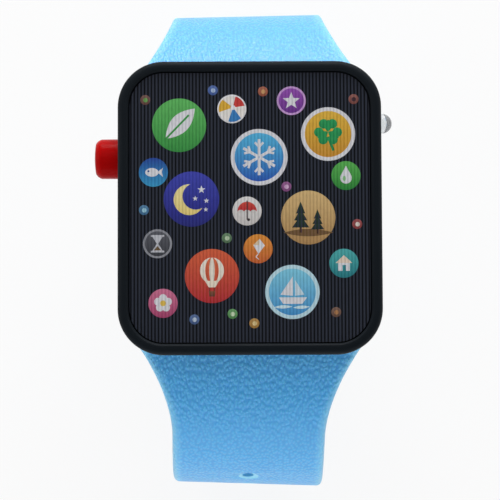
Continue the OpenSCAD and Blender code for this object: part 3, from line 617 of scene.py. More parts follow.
def strap_spine(name, runs, heading, rows, side, lay, middle=False):
    """A line of points with the strap's half width, half thickness and outer direction at each.

    The lay is how the soft strap lies at the crest: how far its left edge sits inside the curl, by half
    of which its middle moves too, and how far the whole strap sits to the right.
    """
    points, outs, lays = [], [], []
    for s, _, _ in rows:
        out, up, turned = strap_point(runs, heading, s)
        swell = crest_swell(runs, s)
        shift = lay[0] * swell ** 2
        out -= shift / 2 if middle else 0.0
        points.append((lay[1] * swell * MM, side * (PIN_Y + out) * MM, (PIN_Z + up) * MM))
        outs.append((0, side * sin(radians(turned)), cos(radians(turned))))
        lays.append((0, -side * shift * MM, 0))
    mesh = bpy.data.meshes.new(name)
    mesh.from_pydata(points, [(i, i + 1) for i in range(len(points) - 1)], [])
    for label, values in zip(SPINE_FIELDS, (points, outs, lays, *(np.array(rows) * MM).T)):
        values = np.array(values, np.float32)
        kind, field = ("FLOAT_VECTOR", "vector") if values.ndim > 1 else ("FLOAT", "value")
        mesh.attributes.new(label, kind, "POINT").data.foreach_set(field, values.ravel())
    return new_object(name, mesh)


def make_strap_sweep():
    """Sweeps a rounded strap section along a line of points."""
    tree, given, end = new_shape_tree("strap sweep", [
        ("Edge rounding", "Float"), ("Corner points", "Int", CORNER_POINTS),
    ])
    spine = take(tree, "GeometryNodeMeshToCurve", {"Mesh": given["Geometry"]})
    count = calc(tree, "MULTIPLY", given["Corner points"], 4.0)
    ring = take(tree, "GeometryNodeCurvePrimitiveCircle", {"Resolution": count, "Radius": 1.0})
    turn = point(tree, z=calc(tree, "DIVIDE", pi, count))
    ring = take(tree, "GeometryNodeTransform", {"Geometry": ring, "Rotation": turn})
    ring = keep_named(tree, ring, "corner", take(tree, "GeometryNodeInputPosition"), "FLOAT_VECTOR", "POINT")
    tube = take(tree, "GeometryNodeCurveToMesh", {"Curve": spine, "Profile Curve": ring, "Fill Caps": True})
    corner = axes_of(tree, read_named(tree, "corner"))
    wide, thick = (read_named(tree, label, "FLOAT") for label in ("half width", "half thickness"))
    most = calc(tree, "MULTIPLY", calc(tree, "MINIMUM", wide, thick), EDGE_SHARE)
    edge = calc(tree, "MINIMUM", given["Edge rounding"], most)

    def reach(half, c):
        flat = calc(tree, "MULTIPLY", calc(tree, "SIGN", c), calc(tree, "SUBTRACT", half, edge))
        return calc(tree, "ADD", flat, calc(tree, "MULTIPLY", edge, c))

    side, rise = reach(wide, corner["X"]), reach(thick, corner["Y"])
    lift = scaled(tree, read_named(tree, "outer"), rise)
    off = vector_calc(tree, "ADD", point(tree, x=side), lift)
    spot = vector_calc(tree, "ADD", read_named(tree, "centre"), off)
    left = calc(tree, "DIVIDE", calc(tree, "SUBTRACT", 1.0, calc(tree, "DIVIDE", side, wide)), 2.0)
    spot = vector_calc(tree, "ADD", spot, scaled(tree, read_named(tree, "lay"), left))
    shaped = take(tree, "GeometryNodeSetPosition", {"Geometry": tube, "Position": spot})
    shaped = keep_named(tree, shaped, "edge reach", wide)
    shaped = keep_named(tree, shaped, "across", side)
    wrap = calc(tree, "ADD", calc(tree, "ABSOLUTE", side), calc(tree, "SUBTRACT", thick, rise))
    unrolled = calc(tree, "MULTIPLY", wrap, calc(tree, "SIGN", side))
    flat = point(tree, unrolled, read_named(tree, "run", "FLOAT"))
    shaped = keep_named(tree, shaped, "unrolled", flat, "FLOAT2")
    return end_shape_tree(tree, given, end, shaped)


STRAP_SWEEP = make_strap_sweep()


def swept_strap(name, runs, heading, rows, side, lay, edge_round):
    piece = strap_spine(name, runs, heading, rows, side, lay)
    mesh = run_tree(piece, STRAP_SWEEP, Edge_rounding=edge_round * MM, Finish=STRAP_BLUE)
    with opened(mesh) as work:
        bmesh.ops.recalc_face_normals(work, faces=work.faces)
    for label in (*SPINE_FIELDS, "corner"):
        if label in mesh.attributes:
            mesh.attributes.remove(mesh.attributes[label])
    return piece


def make_strap_holes():
    """Punches countersunk holes at points whose outer attribute is the strap's outer direction."""
    tree, given, end = new_shape_tree("strap holes", [
        ("Spots", "Object"), ("Bore", "Float", HOLE_BORE * MM), ("Rim", "Float", HOLE_RIM * MM),
        ("Rim depth", "Float", HOLE_RIM_DEPTH * MM),
    ])
    spots = take(tree, "GeometryNodeObjectInfo", {"Object": given["Spots"]}, "Geometry")
    out = read_named(tree, "outer")
    aim = take(tree, "FunctionNodeAlignRotationToVector", {"Vector": out}, axis="Z")
    bore = calc(tree, "DIVIDE", given["Bore"], 2.0)
    rim = calc(tree, "DIVIDE", given["Rim"], 2.0)
    drill = take(tree, "GeometryNodeMeshCylinder",
                 {"Vertices": HOLE_SIDES, "Radius": bore, "Depth": DRILL_DEPTH * MM})
    sink = take(tree, "GeometryNodeMeshCone", {
        "Vertices": HOLE_SIDES, "Radius Top": rim, "Radius Bottom": calc(tree, "MULTIPLY", bore, SINK_SHARE),
        "Depth": given["Rim depth"],
    })
    top = STRAP_T / 2 * MM + CUT_PAST * MM
    rise = point(tree, z=calc(tree, "SUBTRACT", top, given["Rim depth"]))
    sink = take(tree, "GeometryNodeTransform", {"Geometry": sink, "Translation": rise})
    shape = given["Geometry"]
    for tool in (drill, sink):
        many = take(tree, "GeometryNodeInstanceOnPoints",
                    {"Points": spots, "Instance": tool, "Rotation": aim})
        cutters = take(tree, "GeometryNodeRealizeInstances", {"Geometry": many})
        shape = take(tree, "GeometryNodeMeshBoolean", {"Mesh 1": shape, "Mesh 2": cutters},
                     operation="DIFFERENCE", solver="EXACT")
    return end_shape_tree(tree, given, end, shape)


def face_rows(mesh, field):
    values = np.empty(len(mesh.polygons) * 3, np.float32)
    mesh.polygons.foreach_get(field, values)
    return values.reshape(-1, 3)


def mark_hole_rim_light(mesh, spots):
    """Marks the dished faces round the holes for a painted highlight, and less so the bores' walls for
    painted light against their shade.
    """
    middles, facing = face_rows(mesh, "center"), face_rows(mesh, "normal")
    rim_light_share = np.zeros(len(middles), np.float32)
    for vert, out in zip(spots.data.vertices, spots.data.attributes["outer"].data):
        axis = np.array(out.vector)
        off = middles - np.array(vert.co)
        up = off @ axis
        far = np.linalg.norm(off - np.outer(up, axis), axis=1)
        dished = (far < HOLE_RIM / 2 * MM) & (far > HOLE_BORE / 2 * MM)
        dished &= (up > 0) & (facing @ axis < DISH_SLOPE)
        # Painted highlight on the dished rim, weaker painted light on the bore's wall
        bored = (far < (HOLE_BORE / 2 + BORE_SLACK) * MM) & (np.abs(up) < STRAP_T * MM)
        rim_light_share[bored] = BORE_LIGHT
        rim_light_share[dished] = 1.0
    layer = mesh.attributes.new("hole rim light", "FLOAT", "CORNER")
    layer.data.foreach_set("value", np.repeat(rim_light_share, [p.loop_total for p in mesh.polygons]))


def lower_strap():
    piece = swept_strap("strap_lower_skin", LOWER_RUNS, LOWER_HEADING, lower_stations(), -1, LOWER_LAY,
                        EDGE_ROUND)
    rows = [(HOLE_FIRST + HOLE_PITCH * i, 1.0, 1.0) for i in range(HOLE_COUNT)]
    spots = strap_spine("hole_spots", LOWER_RUNS, LOWER_HEADING, rows, -1, LOWER_LAY, middle=True)
    mesh = run_tree(piece, make_strap_holes(), Spots=spots, Finish=STRAP_BLUE)
    mark_hole_rim_light(mesh, spots)
    bpy.data.objects.remove(spots)
    smooth(mesh, STRAP_EDGE_ANGLE)
    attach(piece, "strap_lower")
    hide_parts("strap_lower")


def upper_strap():
    piece = swept_strap("strap_upper_skin", UPPER_RUNS, UPPER_HEADING, upper_stations(), 1, UPPER_LAY,
                        UPPER_EDGE_ROUND)
    out, up, turned = strap_point(UPPER_RUNS, UPPER_HEADING, run_length(UPPER_RUNS))
    reach = BUCKLE_KNUCKLE + SLOT_PAST
    shape = Matrix.Translation((0, (PIN_Y + out) * MM, (PIN_Z + up) * MM))
    shape @= Matrix.Rotation(radians(-turned), 4, "X")
    shape @= Matrix.Translation((0, reach / 2 * MM, 0))
    shape @= Matrix.Diagonal((TONGUE_SLOT * MM, 3 * reach * MM, 2 * reach * MM, 1))
    box = bpy.data.meshes.new("tongue slot")
    with opened(box) as work:
        bmesh.ops.create_cube(work, size=1, matrix=shape)
    cutter = new_object("tongue_slot", box)
    cut = piece.modifiers.new("tongue slot", "BOOLEAN")
    cut.operation = "DIFFERENCE"
    cut.solver = "EXACT"
    cut.object = cutter
    mesh = settle(piece)
    bpy.data.objects.remove(cutter)
    set_finish(mesh, STRAP_BLUE)
    smooth(mesh, STRAP_EDGE_ANGLE)
    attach(piece, "strap_upper")
    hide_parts("strap_upper")


lower_strap()
upper_strap()


# Picture under the ribs: layers of outlines in millimetres, each with its lower and upper colour
SCREEN_GROUND = (8, 10, 16)
WHITE = (226, 226, 232)
LARGE = 4.0
MEDIUM = 2.15
TINY = 0.74
RING_INSIDE = 0.86
BADGE_SIDES = 32
LEAST_BADGE_SIDES = 18
LEAST_DISC_SIDES = 14
LEAF_POINTS = 15
LEAF_SWELL = 0.9
layers = []


def ring_points(x, y, rx, count, ry=None, first=0.0, last=360.0):
    angles = np.radians(np.linspace(first, last, count, endpoint=abs(last - first) < 360))
    return np.column_stack((x + rx * np.cos(angles), y + (ry or rx) * np.sin(angles)))


def polar(reach, turn, x=0.0, y=0.0):
    return x + reach * cos(radians(turn)), y + reach * sin(radians(turn))


class Badge:
    """A round badge on the screen. Its shapes are drawn in parts of its radius, from its middle."""

    def __init__(self, x, y, r, low, high, ring=None):
        self.spot = np.array((x, y))
        self.r = r
        self.steps = max(LEAST_BADGE_SIDES, int(BADGE_SIDES * sqrt(r)))
        if ring:
            self.disc(0, 0, 1, ring)
        self.disc(0, 0, RING_INSIDE if ring else 1, low, high)

    def shape(self, points, low, high=None):
        layers.append((self.spot + self.r * np.array(points, float), low, high or low))

    def disc(self, x, y, rx, low, high=None, ry=None):
        count = max(LEAST_DISC_SIDES, int(self.steps * sqrt(rx)))
        self.shape(ring_points(x, y, rx, count, ry), low, high)

    def bar(self, x0, y0, x1, y1, wide, tone):
        a, b = np.array((x0, y0)), np.array((x1, y1))
        along = (b - a) / np.linalg.norm(b - a)
        side = np.array((-along[1], along[0])) * wide / 2
        self.shape([a - side, b - side, b + side, a + side], tone)

    def star(self, x, y, big, small, tips, tone):
        angles = np.radians(90 + np.arange(2 * tips) * 180 / tips)
        reach = np.where(np.arange(2 * tips) % 2 == 0, big, small)
        self.shape(np.column_stack((x + reach * np.cos(angles), y + reach * np.sin(angles))), tone)

    def leaf(self, x0, y0, x1, y1, wide, tone):
        a, b = np.array((x0, y0)), np.array((x1, y1))
        along = b - a
        side = np.array((-along[1], along[0])) / np.linalg.norm(along)
        share = np.linspace(0, 1, LEAF_POINTS)[:, None]
        swell = wide * np.sin(np.pi * share) ** LEAF_SWELL
        left = a + along * share + side * swell
        right = (a + along * share - side * swell)[::-1][1:-1]
        self.shape(np.vstack((left, right)), tone)


leaf = Badge(-10.4, 12.2, LARGE, (62, 150, 74), (104, 192, 104))
leaf.leaf(-0.5, -0.5, 0.58, 0.62, 0.34, WHITE)
leaf.bar(-0.68, -0.7, 0.36, 0.38, 0.07, (72, 160, 82))

snow = Badge(1.4, 7.4, LARGE + 0.2, (52, 96, 190), (92, 190, 232), ring=WHITE)
for turn in range(30, 390, 60):
    snow.bar(*polar(0.02, turn), *polar(0.64, turn), 0.1, WHITE)
    for lean in (turn - 42, turn + 42):
        snow.bar(*polar(0.36, turn), *polar(0.22, lean, *polar(0.36, turn)), 0.08, WHITE)

clover = Badge(11.6, 10.8, LARGE, (206, 148, 44), (232, 188, 76), ring=WHITE)
clover.bar(0.0, -0.1, 0.2, -0.62, 0.1, (34, 140, 84))
for turn in (90, 210, 330):
    for lean in (turn - 28, turn + 28):
        clover.disc(*polar(0.34, lean, 0.0, 0.08), 0.18, (34, 140, 84), (54, 168, 100))
    clover.leaf(0.0, 0.08, *polar(0.46, turn, 0.0, 0.08), 0.14, (44, 156, 92))

moon = Badge(-8.6, 1.2, LARGE + 0.1, (44, 46, 128), (72, 78, 184))
moon.disc(-0.08, -0.02, 0.56, (236, 214, 132), (246, 232, 170))
moon.disc(0.16, 0.1, 0.48, (54, 58, 150), (66, 72, 172))
for x, y, size in ((0.36, 0.34, 0.15), (0.54, -0.06, 0.1), (0.14, 0.02, 0.1), (0.52, -0.38, 0.09)):
    moon.star(x, y, size, size * 0.42, 5, WHITE)

pine = Badge(8.6, -1.6, LARGE, (178, 140, 92), (220, 188, 132))
pine.leaf(-0.92, -0.56, 0.92, -0.56, 0.14, (120, 92, 58))
for x, y, size in ((-0.28, -0.52, 0.62), (0.34, -0.56, 0.48)):
    pine.bar(x, y - 0.04, x, y + 0.3 * size, 0.13 * size, (74, 50, 34))
    for k in range(3):
        low, half = y + (0.24 + 0.42 * k) * size, (0.52 - 0.12 * k) * size
        pine.shape([(x - half, low), (x + half, low), (x, low + 0.72 * size)], (34, 52, 40), (48, 72, 52))

balloon = Badge(-5.6, -10.2, LARGE, (186, 54, 48), (222, 104, 72))
balloon.disc(0, 0.2, 0.44, (232, 222, 206), (246, 238, 226), ry=0.48)
balloon.disc(0, 0.2, 0.25, (206, 84, 62), (224, 120, 84), ry=0.48)
balloon.disc(0, 0.2, 0.1, (238, 230, 216), ry=0.48)
balloon.shape([(-0.26, -0.18), (0.26, -0.18), (0.12, -0.42), (-0.12, -0.42)], (240, 228, 210))
for side in (-1, 1):
    balloon.bar(0.11 * side, -0.42, 0.09 * side, -0.58, 0.03, (92, 58, 40))
balloon.shape([(-0.13, -0.56), (0.13, -0.56), (0.1, -0.76), (-0.1, -0.76)], (104, 66, 42), (136, 90, 58))

boat = Badge(6.2, -12.6, LARGE, (74, 152, 212), (136, 212, 236), ring=(196, 228, 240))
boat.shape([(-0.5, -0.2), (0.54, -0.2), (0.36, -0.44), (-0.34, -0.44)], WHITE)
boat.shape([(0.02, -0.14), (0.02, 0.58), (-0.44, -0.1)], WHITE)
boat.shape([(0.1, -0.14), (0.1, 0.44), (0.44, -0.1)], (206, 226, 238))
boat.leaf(-0.68, -0.56, 0.0, -0.54, 0.06, (212, 236, 244))
boat.leaf(0.02, -0.58, 0.64, -0.55, 0.06, (212, 236, 244))

ball = Badge(-2.6, 14.6, MEDIUM, (222, 222, 226), (240, 240, 244))
pale = (236, 232, 228)
for k, tone in enumerate(((206, 70, 64), pale, (226, 178, 62), pale, (64, 132, 196), pale)):
    arc = ring_points(0, 0, 0.9, 12, first=60 * k + 14, last=60 * k + 74)
    ball.shape(np.vstack(([(0.08, 0.1)], arc)), tone)
ball.disc(0.08, 0.1, 0.16, (240, 240, 244))

star = Badge(6.2, 15.8, MEDIUM, (112, 58, 146), (158, 88, 186), ring=(206, 164, 220))
star.star(0, -0.02, 0.62, 0.26, 5, WHITE)

fish = Badge(-14.2, 5.2, MEDIUM, (64, 158, 206), (46, 78, 164))
fish.disc(-0.1, 0, 0.46, WHITE, ry=0.3)
fish.shape([(0.26, 0.0), (0.66, 0.32), (0.58, 0.0), (0.66, -0.32)], WHITE)
fish.disc(-0.34, 0.08, 0.07, (44, 84, 150))

umbrella = Badge(-0.4, -0.6, MEDIUM, (206, 202, 200), (232, 230, 230))
umbrella.shape(ring_points(0, -0.02, 0.66, 26, last=180), (190, 48, 46), (216, 86, 76))
for k in (-1, 0, 1):
    umbrella.disc(0.44 * k, -0.04, 0.2, (212, 208, 206), ry=0.12)
umbrella.bar(0, -0.6, 0, 0.72, 0.08, (70, 62, 60))
umbrella.disc(0.1, -0.6, 0.1, (70, 62, 60))

drop = Badge(14.2, 4.6, MEDIUM, (50, 138, 62), (98, 186, 92))
arc = ring_points(0, -0.16, 0.4, 24, first=-205, last=25)
drop.shape(np.vstack((arc, [(0.0, 0.68)])), WHITE)
drop.disc(-0.12, -0.2, 0.12, (150, 204, 148), ry=0.18)

hourglass = Badge(-13.6, -5.4, MEDIUM, (66, 68, 74), (98, 100, 108), ring=(150, 152, 160))
glass = [(-0.36, 0.5), (0.36, 0.5), (0.05, 0.0), (0.36, -0.5), (-0.36, -0.5), (-0.05, 0.0)]
hourglass.shape(glass, (196, 198, 206))
for y in (0.54, -0.54):
    hourglass.bar(-0.46, y, 0.46, y, 0.12, (196, 198, 206))
hourglass.shape([(-0.26, -0.46), (0.26, -0.46), (0.0, -0.16)], (112, 92, 64))

kite = Badge(1.2, -6.2, MEDIUM, (204, 104, 44), (232, 154, 66))
kite.shape([(0.1, 0.68), (0.46, 0.22), (0.02, -0.36), (-0.34, 0.26)], WHITE)
kite.shape([(0.1, 0.68), (0.06, 0.24), (-0.34, 0.26)], (226, 206, 176))
kite.bar(0.02, -0.34, -0.16, -0.56, 0.06, WHITE)
kite.bar(-0.16, -0.56, 0.06, -0.74, 0.06, WHITE)

house = Badge(13.8, -8.4, MEDIUM, (42, 128, 138), (86, 182, 182))
house.shape([(-0.4, -0.52), (0.4, -0.52), (0.4, 0.06), (-0.4, 0.06)], WHITE)
house.shape([(-0.58, 0.02), (0.58, 0.02), (0.0, 0.56)], (232, 214, 196))
house.shape([(-0.1, -0.52), (0.14, -0.52), (0.14, -0.12), (-0.1, -0.12)], (58, 140, 148))

flower = Badge(-12.8, -14.2, MEDIUM, (176, 74, 116), (216, 124, 158))
for turn in range(90, 450, 72):
    flower.disc(*polar(0.36, turn), 0.27, WHITE)
flower.disc(0, 0, 0.2, (232, 196, 92))

for x, y, low, high in (
    (-15.4, 16.0, (104, 72, 66), (112, 168, 92)), (-5.4, 17.4, (70, 96, 158), (176, 196, 226)),
    (2.0, 17.2, (150, 84, 64), (206, 160, 110)), (15.4, 16.0, (128, 76, 70), (74, 50, 52)),
    (-15.6, -0.4, (66, 112, 150), (160, 206, 224)), (15.8, -2.6, (140, 64, 66), (226, 214, 206)),
    (-2.6, -15.8, (86, 142, 84), (204, 224, 190)), (0.6, -17.2, (166, 124, 62), (226, 204, 150)),
    (12.6, -15.6, (106, 78, 66), (180, 130, 88)), (-8.2, -16.6, (72, 96, 142), (190, 204, 222)),
    (5.4, 3.0, (132, 76, 128), (212, 176, 210)), (-3.4, -4.6, (88, 120, 88), (190, 210, 180)),
):
    dot = Badge(x, y, TINY, low, tuple(min(255, c + 30) for c in low))
    dot.disc(0.06, -0.04, 0.45, high)


def sheet_reach(x):
    """Half length of the rounded sheet at a place across it."""
    over = abs(x) - (SCREEN_W / 2 - SCREEN_CORNER)
    drop = SCREEN_CORNER - sqrt(max(0.0, SCREEN_CORNER ** 2 - over ** 2)) if over > 0 else 0.0
    return SCREEN_L / 2 - drop


def inside(points, outline):
    hit = np.zeros(len(points), bool)
    for (ax, ay), (bx, by) in zip(outline, np.roll(outline, -1, axis=0)):
        if ay == by:
            continue
        spans = (ay > points[:, 1]) != (by > points[:, 1])
        cross = points[:, 0] < (bx - ax) * (points[:, 1] - ay) / (by - ay) + ax
        hit ^= spans & cross
    return hit


def sheet_triangles():
    """Cuts the sheet along the ribs and along every outline of the picture."""
    step = RIB_PITCH / RIB_SLICES
    half = SCREEN_W / 2
    slices = [i * step for i in range(-int(half / step), int(half / step) + 1)]
    corner = SCREEN_L / 2 - SCREEN_CORNER
    top = [(x, max(corner, sheet_reach(x))) for x in [-half] + slices + [half]]
    points = top + [(x, -y) for x, y in reversed(top)]
    count = len(points)
    edges = [(i, (i + 1) % count) for i in range(count)]
    edges += [(i, count - 1 - i) for i in range(1, len(top) - 1)]
    for outline, _, _ in layers:
        first = len(points)
        points += [tuple(p) for p in outline]
        edges += [(first + i, first + (i + 1) % len(outline)) for i in range(len(outline))]
    found = geometry.delaunay_2d_cdt([Vector(p) for p in points], edges, [], 1, PICTURE_WELD)
    return np.array([tuple(v) for v in found[0]]), np.array(found[2])


def colour_corners(places, triangles):
    """Colour of each triangle's corners from the uppermost layer that holds it."""
    middles = places[triangles].mean(axis=1)
    colours = np.tile(np.array(linear(*SCREEN_GROUND)), (len(triangles), 3, 1))
    for outline, low, high in layers:
        floor, roof = outline.min(axis=0), outline.max(axis=0)
        near = np.nonzero(((middles > floor) & (middles < roof)).all(axis=1))[0]
        held = near[inside(middles[near], outline)]
        share = (places[triangles[held]][:, :, 1] - floor[1]) / (roof[1] - floor[1])
        share = np.clip(share, 0, 1)[:, :, None]
        colours[held] = np.array(linear(*low)) * (1 - share) + np.array(linear(*high)) * share
    return colours


def make_lens_ribs():
    """Raises the top of a flat sheet into round ribs."""
    tree, given, end = new_shape_tree("lens ribs", [
        ("Pitch", "Float", RIB_PITCH * MM), ("Rib radius", "Float", RIB_RADIUS * MM),
        ("Crest", "Float", RIB_CREST * MM), ("Back", "Float", SHEET_BACK * MM),
    ])
    pitch, radius = given["Pitch"], given["Rib radius"]
    crest, back = given["Crest"], given["Back"]
    axes = axes_of(tree, take(tree, "GeometryNodeInputPosition"))
    ribs = calc(tree, "ROUND", calc(tree, "DIVIDE", axes["X"], pitch))
    off = calc(tree, "SUBTRACT", axes["X"], calc(tree, "MULTIPLY", ribs, pitch))
    square = calc(tree, "MULTIPLY", radius, radius)
    chord = calc(tree, "SQRT", calc(tree, "SUBTRACT", square, calc(tree, "MULTIPLY", off, off)))
    height = calc(tree, "SUBTRACT", crest, calc(tree, "SUBTRACT", radius, chord))
    spot = point(tree, axes["X"], axes["Y"], height)
    middle = calc(tree, "DIVIDE", calc(tree, "ADD", crest, back), 2.0)
    on_top = calc(tree, "GREATER_THAN", axes["Z"], middle)
    ribbed = take(tree, "GeometryNodeSetPosition",
                  {"Geometry": given["Geometry"], "Selection": on_top, "Position": spot})
    return end_shape_tree(tree, given, end, ribbed)


def screen_sheet():
    places, triangles = sheet_triangles()
    mesh = bpy.data.meshes.new("picture_screen")
    spots = np.column_stack((places * MM, np.full(len(places), RIB_CREST * MM)))
    mesh.from_pydata(spots.tolist(), [], triangles.tolist())
    paint = mesh.color_attributes.new("picture", "FLOAT_COLOR", "CORNER")
    paint.data.foreach_set("color", colour_corners(places, triangles).astype(np.float32).ravel())
    with opened(mesh) as work:
        rim = [e for e in work.edges if e.is_boundary]
        grown = bmesh.ops.extrude_edge_only(work, edges=rim)["geom"]
        for vert in grown:
            if isinstance(vert, bmesh.types.BMVert):
                vert.co.z = SHEET_BACK * MM
        lower = [e for e in grown if isinstance(e, bmesh.types.BMEdge) and e.is_boundary]
        bmesh.ops.triangle_fill(work, edges=lower, use_beauty=True)
        bmesh.ops.recalc_face_normals(work, faces=work.faces)
    piece = new_object("picture_screen", mesh)
    mesh = run_tree(piece, make_lens_ribs(), Finish=SCREEN_PRINT_AND_RIB_LIGHT)
    smooth(mesh, ROUND_EDGE_ANGLE)
    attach(piece, "case")
    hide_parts("lenticular_screen")


screen_sheet()


# Moulded and turned pieces: the solids with their edges broken
def drafted_end(spot):
    """Leans the outer wall at the case's ends in towards the back, clear of the spring bars' seats."""
    past_x = abs(spot.x) - CASE_W / 2 + CASE_CORNER
    past_y = abs(spot.y) - CASE_L / 2 + CASE_CORNER
    below = CASE_CORNER - hypot(max(past_x, 0.0), past_y)
    low = min(COVER_ROUND, max(0.0, COVER_ROUND - spot.z))
    skin = COVER_ROUND - sqrt(COVER_ROUND ** 2 - low ** 2)
    if abs(spot.x) > POCKET_HALF + SEAT_SLACK and hypot(abs(spot.y) - PIN_Y, spot.z - PIN_Z) < SEAT_R:
        return Vector((copysign(PIN_SEAT, spot.x), spot.y, spot.z))
    if past_y <= 0 or spot.z > RIM_TOP or abs(below - skin) > SKIN_DEPTH:
        return spot
    lean = END_DRAFT * past_y / CASE_CORNER * (1 - spot.z / RIM_TOP)
    return Vector((spot.x, spot.y - copysign(lean, spot.y), spot.z))


def seated_tip(spot):
    """Ends the spring bars' tips in the shorter seats."""
    return Vector((max(-PIN_REACH, min(PIN_REACH, spot.x)), spot.y, spot.z))


def cap_radius(far, edge):
    return BUTTON_R - edge + sqrt(max(0.0, edge ** 2 - max(0.0, edge - far) ** 2))


def rounder_cap(spot):
    """Takes the button's outer edge down to a fuller round."""
    far = max(0.0, spot.x - BUTTON_TIP)
    share = cap_radius(far, CAP_ROUND) / cap_radius(far, BUTTON_ROUND)
    return Vector((spot.x, BUTTON_Y + (spot.y - BUTTON_Y) * share, SIDE_Z + (spot.z - SIDE_Z) * share))


def finished_copy(node, body, finish, bevel=0.0, steps=2, reshape=None):
    """A copy of a solid with its edges broken and, for some, its form corrected."""
    mesh = nodes[node].data.copy()
    if "custom_normal" in mesh.attributes:
        mesh.attributes.remove(mesh.attributes["custom_normal"])
    with opened(mesh) as work:
        bmesh.ops.remove_doubles(work, verts=work.verts, dist=WELD)
        bmesh.ops.dissolve_limit(work, angle_limit=radians(FLAT_ANGLE), verts=work.verts, edges=work.edges)
        if reshape:
            for vert in work.verts:
                vert.co = reshape(vert.co / MM) * MM
    set_finish(mesh, finish)
    piece = new_object(node + "_finished", mesh)
    if bevel:
        edge = piece.modifiers.new("broken edges", "BEVEL")
        edge.width = bevel * MM
        edge.segments = steps
        edge.limit_method = "ANGLE"
        edge.angle_limit = radians(EDGE_ANGLE)
        edge.use_clamp_overlap = True
        mesh = settle(piece)
    smooth(mesh, EDGE_ANGLE)
    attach(piece, body)
    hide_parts(node)


finished_copy("front_case", "case", CASE_BLACK, bevel=0.12, reshape=drafted_end)
finished_copy("rear_cover", "case", CASE_BLACK, reshape=drafted_end)
finished_copy("battery_door", "battery_door", CASE_BLACK, bevel=0.1)
finished_copy("push_button", "button", BUTTON_RED, reshape=rounder_cap)
finished_copy("led_lamp", "case", LAMP_CLEAR)
finished_copy("keeper_loop", "keeper", KEEPER_BLUE, bevel=0.25, steps=3)
finished_copy("buckle_frame", "buckle", BUCKLE_BLUE, bevel=0.3, steps=3)
finished_copy("buckle_tongue", "tongue", BUCKLE_BLUE, bevel=0.25, steps=3)
finished_copy("case_screws", "case", STEEL, bevel=0.08)
finished_copy("door_screws", "battery_door", STEEL, bevel=0.08)
finished_copy("spring_bars", "case", STEEL, bevel=0.06, reshape=seated_tip)
finished_copy("buckle_bar", "buckle", STEEL, bevel=0.1)


def lamp_core():
    """Cup and post inside the clear lamp: how far below its middle, height, inner and outer radius."""
    mesh = bpy.data.meshes.new("lamp_core")
    with opened(mesh) as work:
        for drop, tall, near, far in ((0.0, 2.2, 0.34, 0.62), (0.62, 1.9, 0.16, 0.16)):
            spot = ((LAMP_BASE + tall / 2 + CORE_GAP) * MM, LAMP_Y * MM, (SIDE_Z - drop) * MM)
            shape = Matrix.Translation(spot) @ Matrix.Rotation(radians(90), 4, "Y")
            bmesh.ops.create_cone(work, cap_ends=True, segments=CORE_SIDES, radius1=near * MM,
                                  radius2=far * MM, depth=tall * MM, matrix=shape)
    set_finish(mesh, STEEL)
    piece = new_object("lamp_core", mesh)
    smooth(mesh, ROUND_EDGE_ANGLE)
    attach(piece, "case")


lamp_core()

# Finishes of the solids that stay as they are
for name, finish in dict(
    screen_tape=TAPE_CREAM, main_board=BOARD_GREEN, chip_blob=RESIN_BLACK, board_parts=PART_TAN,
    button_switch=SWITCH_BLACK, switch_plunger=PLUNGER_WHITE, led_leads=STEEL, speaker_frame=STEEL,
    speaker_cone=CONE_PAPER, speaker_magnet=MAGNET, speaker_gasket=FOAM_GREY, speaker_wires=WIRE_RED,
    battery_wires=WIRE_BLACK, button_cells=CELL_STEEL, spring_contacts=BRASS, door_contacts=BRASS,
).items():
    set_finish(nodes[name].data, finish)


# Stage: pale floor, soft boxes and a studio that is white at the sides and dim overhead
def make_floor():
    low = cad_box[0].z - FLOOR_GAP
    mesh = bpy.data.meshes.new("floor")
    corners = [(x * FLOOR_HALF, y * FLOOR_HALF, low) for x, y in ((-1, -1), (1, -1), (1, 1), (-1, 1))]
    mesh.from_pydata(corners, [], [(0, 1, 2, 3)])
    material, tree, shader = new_finish(
        "floor paper", Base_Color=(0.97, 0.97, 0.97, 1), Roughness=0.9, Specular_IOR_Level=0.1,
    )
    glow = take(tree, "ShaderNodeEmission", {"Color": (1, 1, 1, 1), "Strength": 1.0})
    path = put(tree, "ShaderNodeLightPath").outputs
    mirrored = calc(tree, "MAXIMUM", path["Is Glossy Ray"], path["Is Transmission Ray"])
    share = calc(tree, "MULTIPLY", calc(tree, "MAXIMUM", path["Is Camera Ray"], mirrored), FLOOR_GLOW)
    mix = take(tree, "ShaderNodeMixShader", {0: share, 1: shader.outputs[0], 2: glow})
    give(tree, tree.nodes["Material Output"], Surface=mix)
    set_finish(mesh, material)
    floor = new_object("floor", mesh)


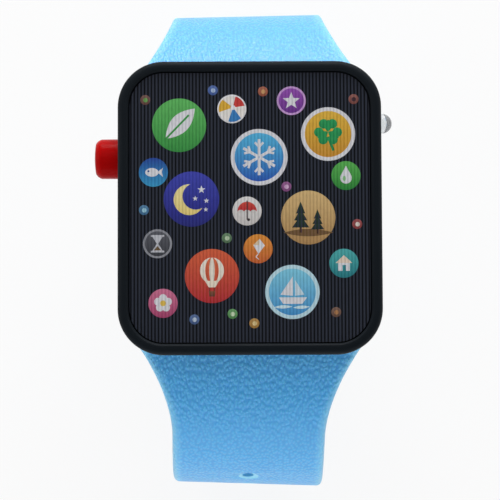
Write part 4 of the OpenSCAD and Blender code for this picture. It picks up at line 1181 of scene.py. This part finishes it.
def make_world():
    world = bpy.data.worlds.new("studio")
    bpy.context.scene.world = world
    world.use_nodes = True
    tree = world.node_tree
    up = axes_of(tree, take(tree, "ShaderNodeTexCoord", socket="Generated"))["Z"]
    back = tree.nodes["Background"]
    back.inputs["Color"].default_value = (1, 1, 1, 1)
    give(tree, back, Strength=spread(tree, up, SKY_SIDE, SKY_ROOF, *SKY_FADE, soft=True))


def soft_box(name, place, aim, wide, tall, power, mirrored=True):
    light = bpy.data.lights.new(name, "AREA")
    light.shape = "RECTANGLE"
    light.size = wide
    light.size_y = tall
    light.energy = power
    lamp = new_object(name, light)
    lamp.location = place
    lamp.rotation_mode = "QUATERNION"
    lamp.rotation_quaternion = (Vector(aim) - Vector(place)).to_track_quat("-Z", "Y")
    lamp.visible_glossy = mirrored


def make_camera():
    face = Vector((0, 0, CASE_H * MM))
    tilt = radians(CAMERA_TILT)
    place = face + CAMERA_FAR * Vector((0, -sin(tilt), cos(tilt)))
    target = face - Vector((0, CAMERA_FAR * AIM_PIXELS / FOCAL_PIXELS / cos(tilt), 0))
    back = (place - target).normalized()
    up = back.cross(Vector((1, 0, 0)))
    turn = Matrix((up.cross(back), up, back)).transposed().to_4x4()
    roll = Matrix.Rotation(radians(CAMERA_ROLL), 4, "Z")
    data = bpy.data.cameras.new("camera")
    data.sensor_width = SENSOR_W
    data.lens = SENSOR_W * FOCAL_PIXELS / FRAME_PIXELS
    data.clip_start = 0.01
    camera = new_object("camera", data)
    camera.matrix_world = Matrix.Translation(place) @ turn @ roll
    bpy.context.scene.camera = camera


make_floor()
make_world()
soft_box("key box", (0.05, 0.55, 0.14), (0, 0, 0), 0.5, 0.3, 2.8)
soft_box("top box", (0.0, 0.25, 0.43), (0, 0, 0), 0.4, 0.4, 0.65, mirrored=False)
soft_box("front box", (0.0, -0.5, 0.02), (0, 0, -0.02), 0.5, 0.1, 1.1, mirrored=False)
soft_box("side box", (-0.5, 0.1, 0.3), (0, 0, 0), 0.3, 0.4, 0.3)
make_camera()
bpy.context.scene.view_settings.view_transform = "Standard"
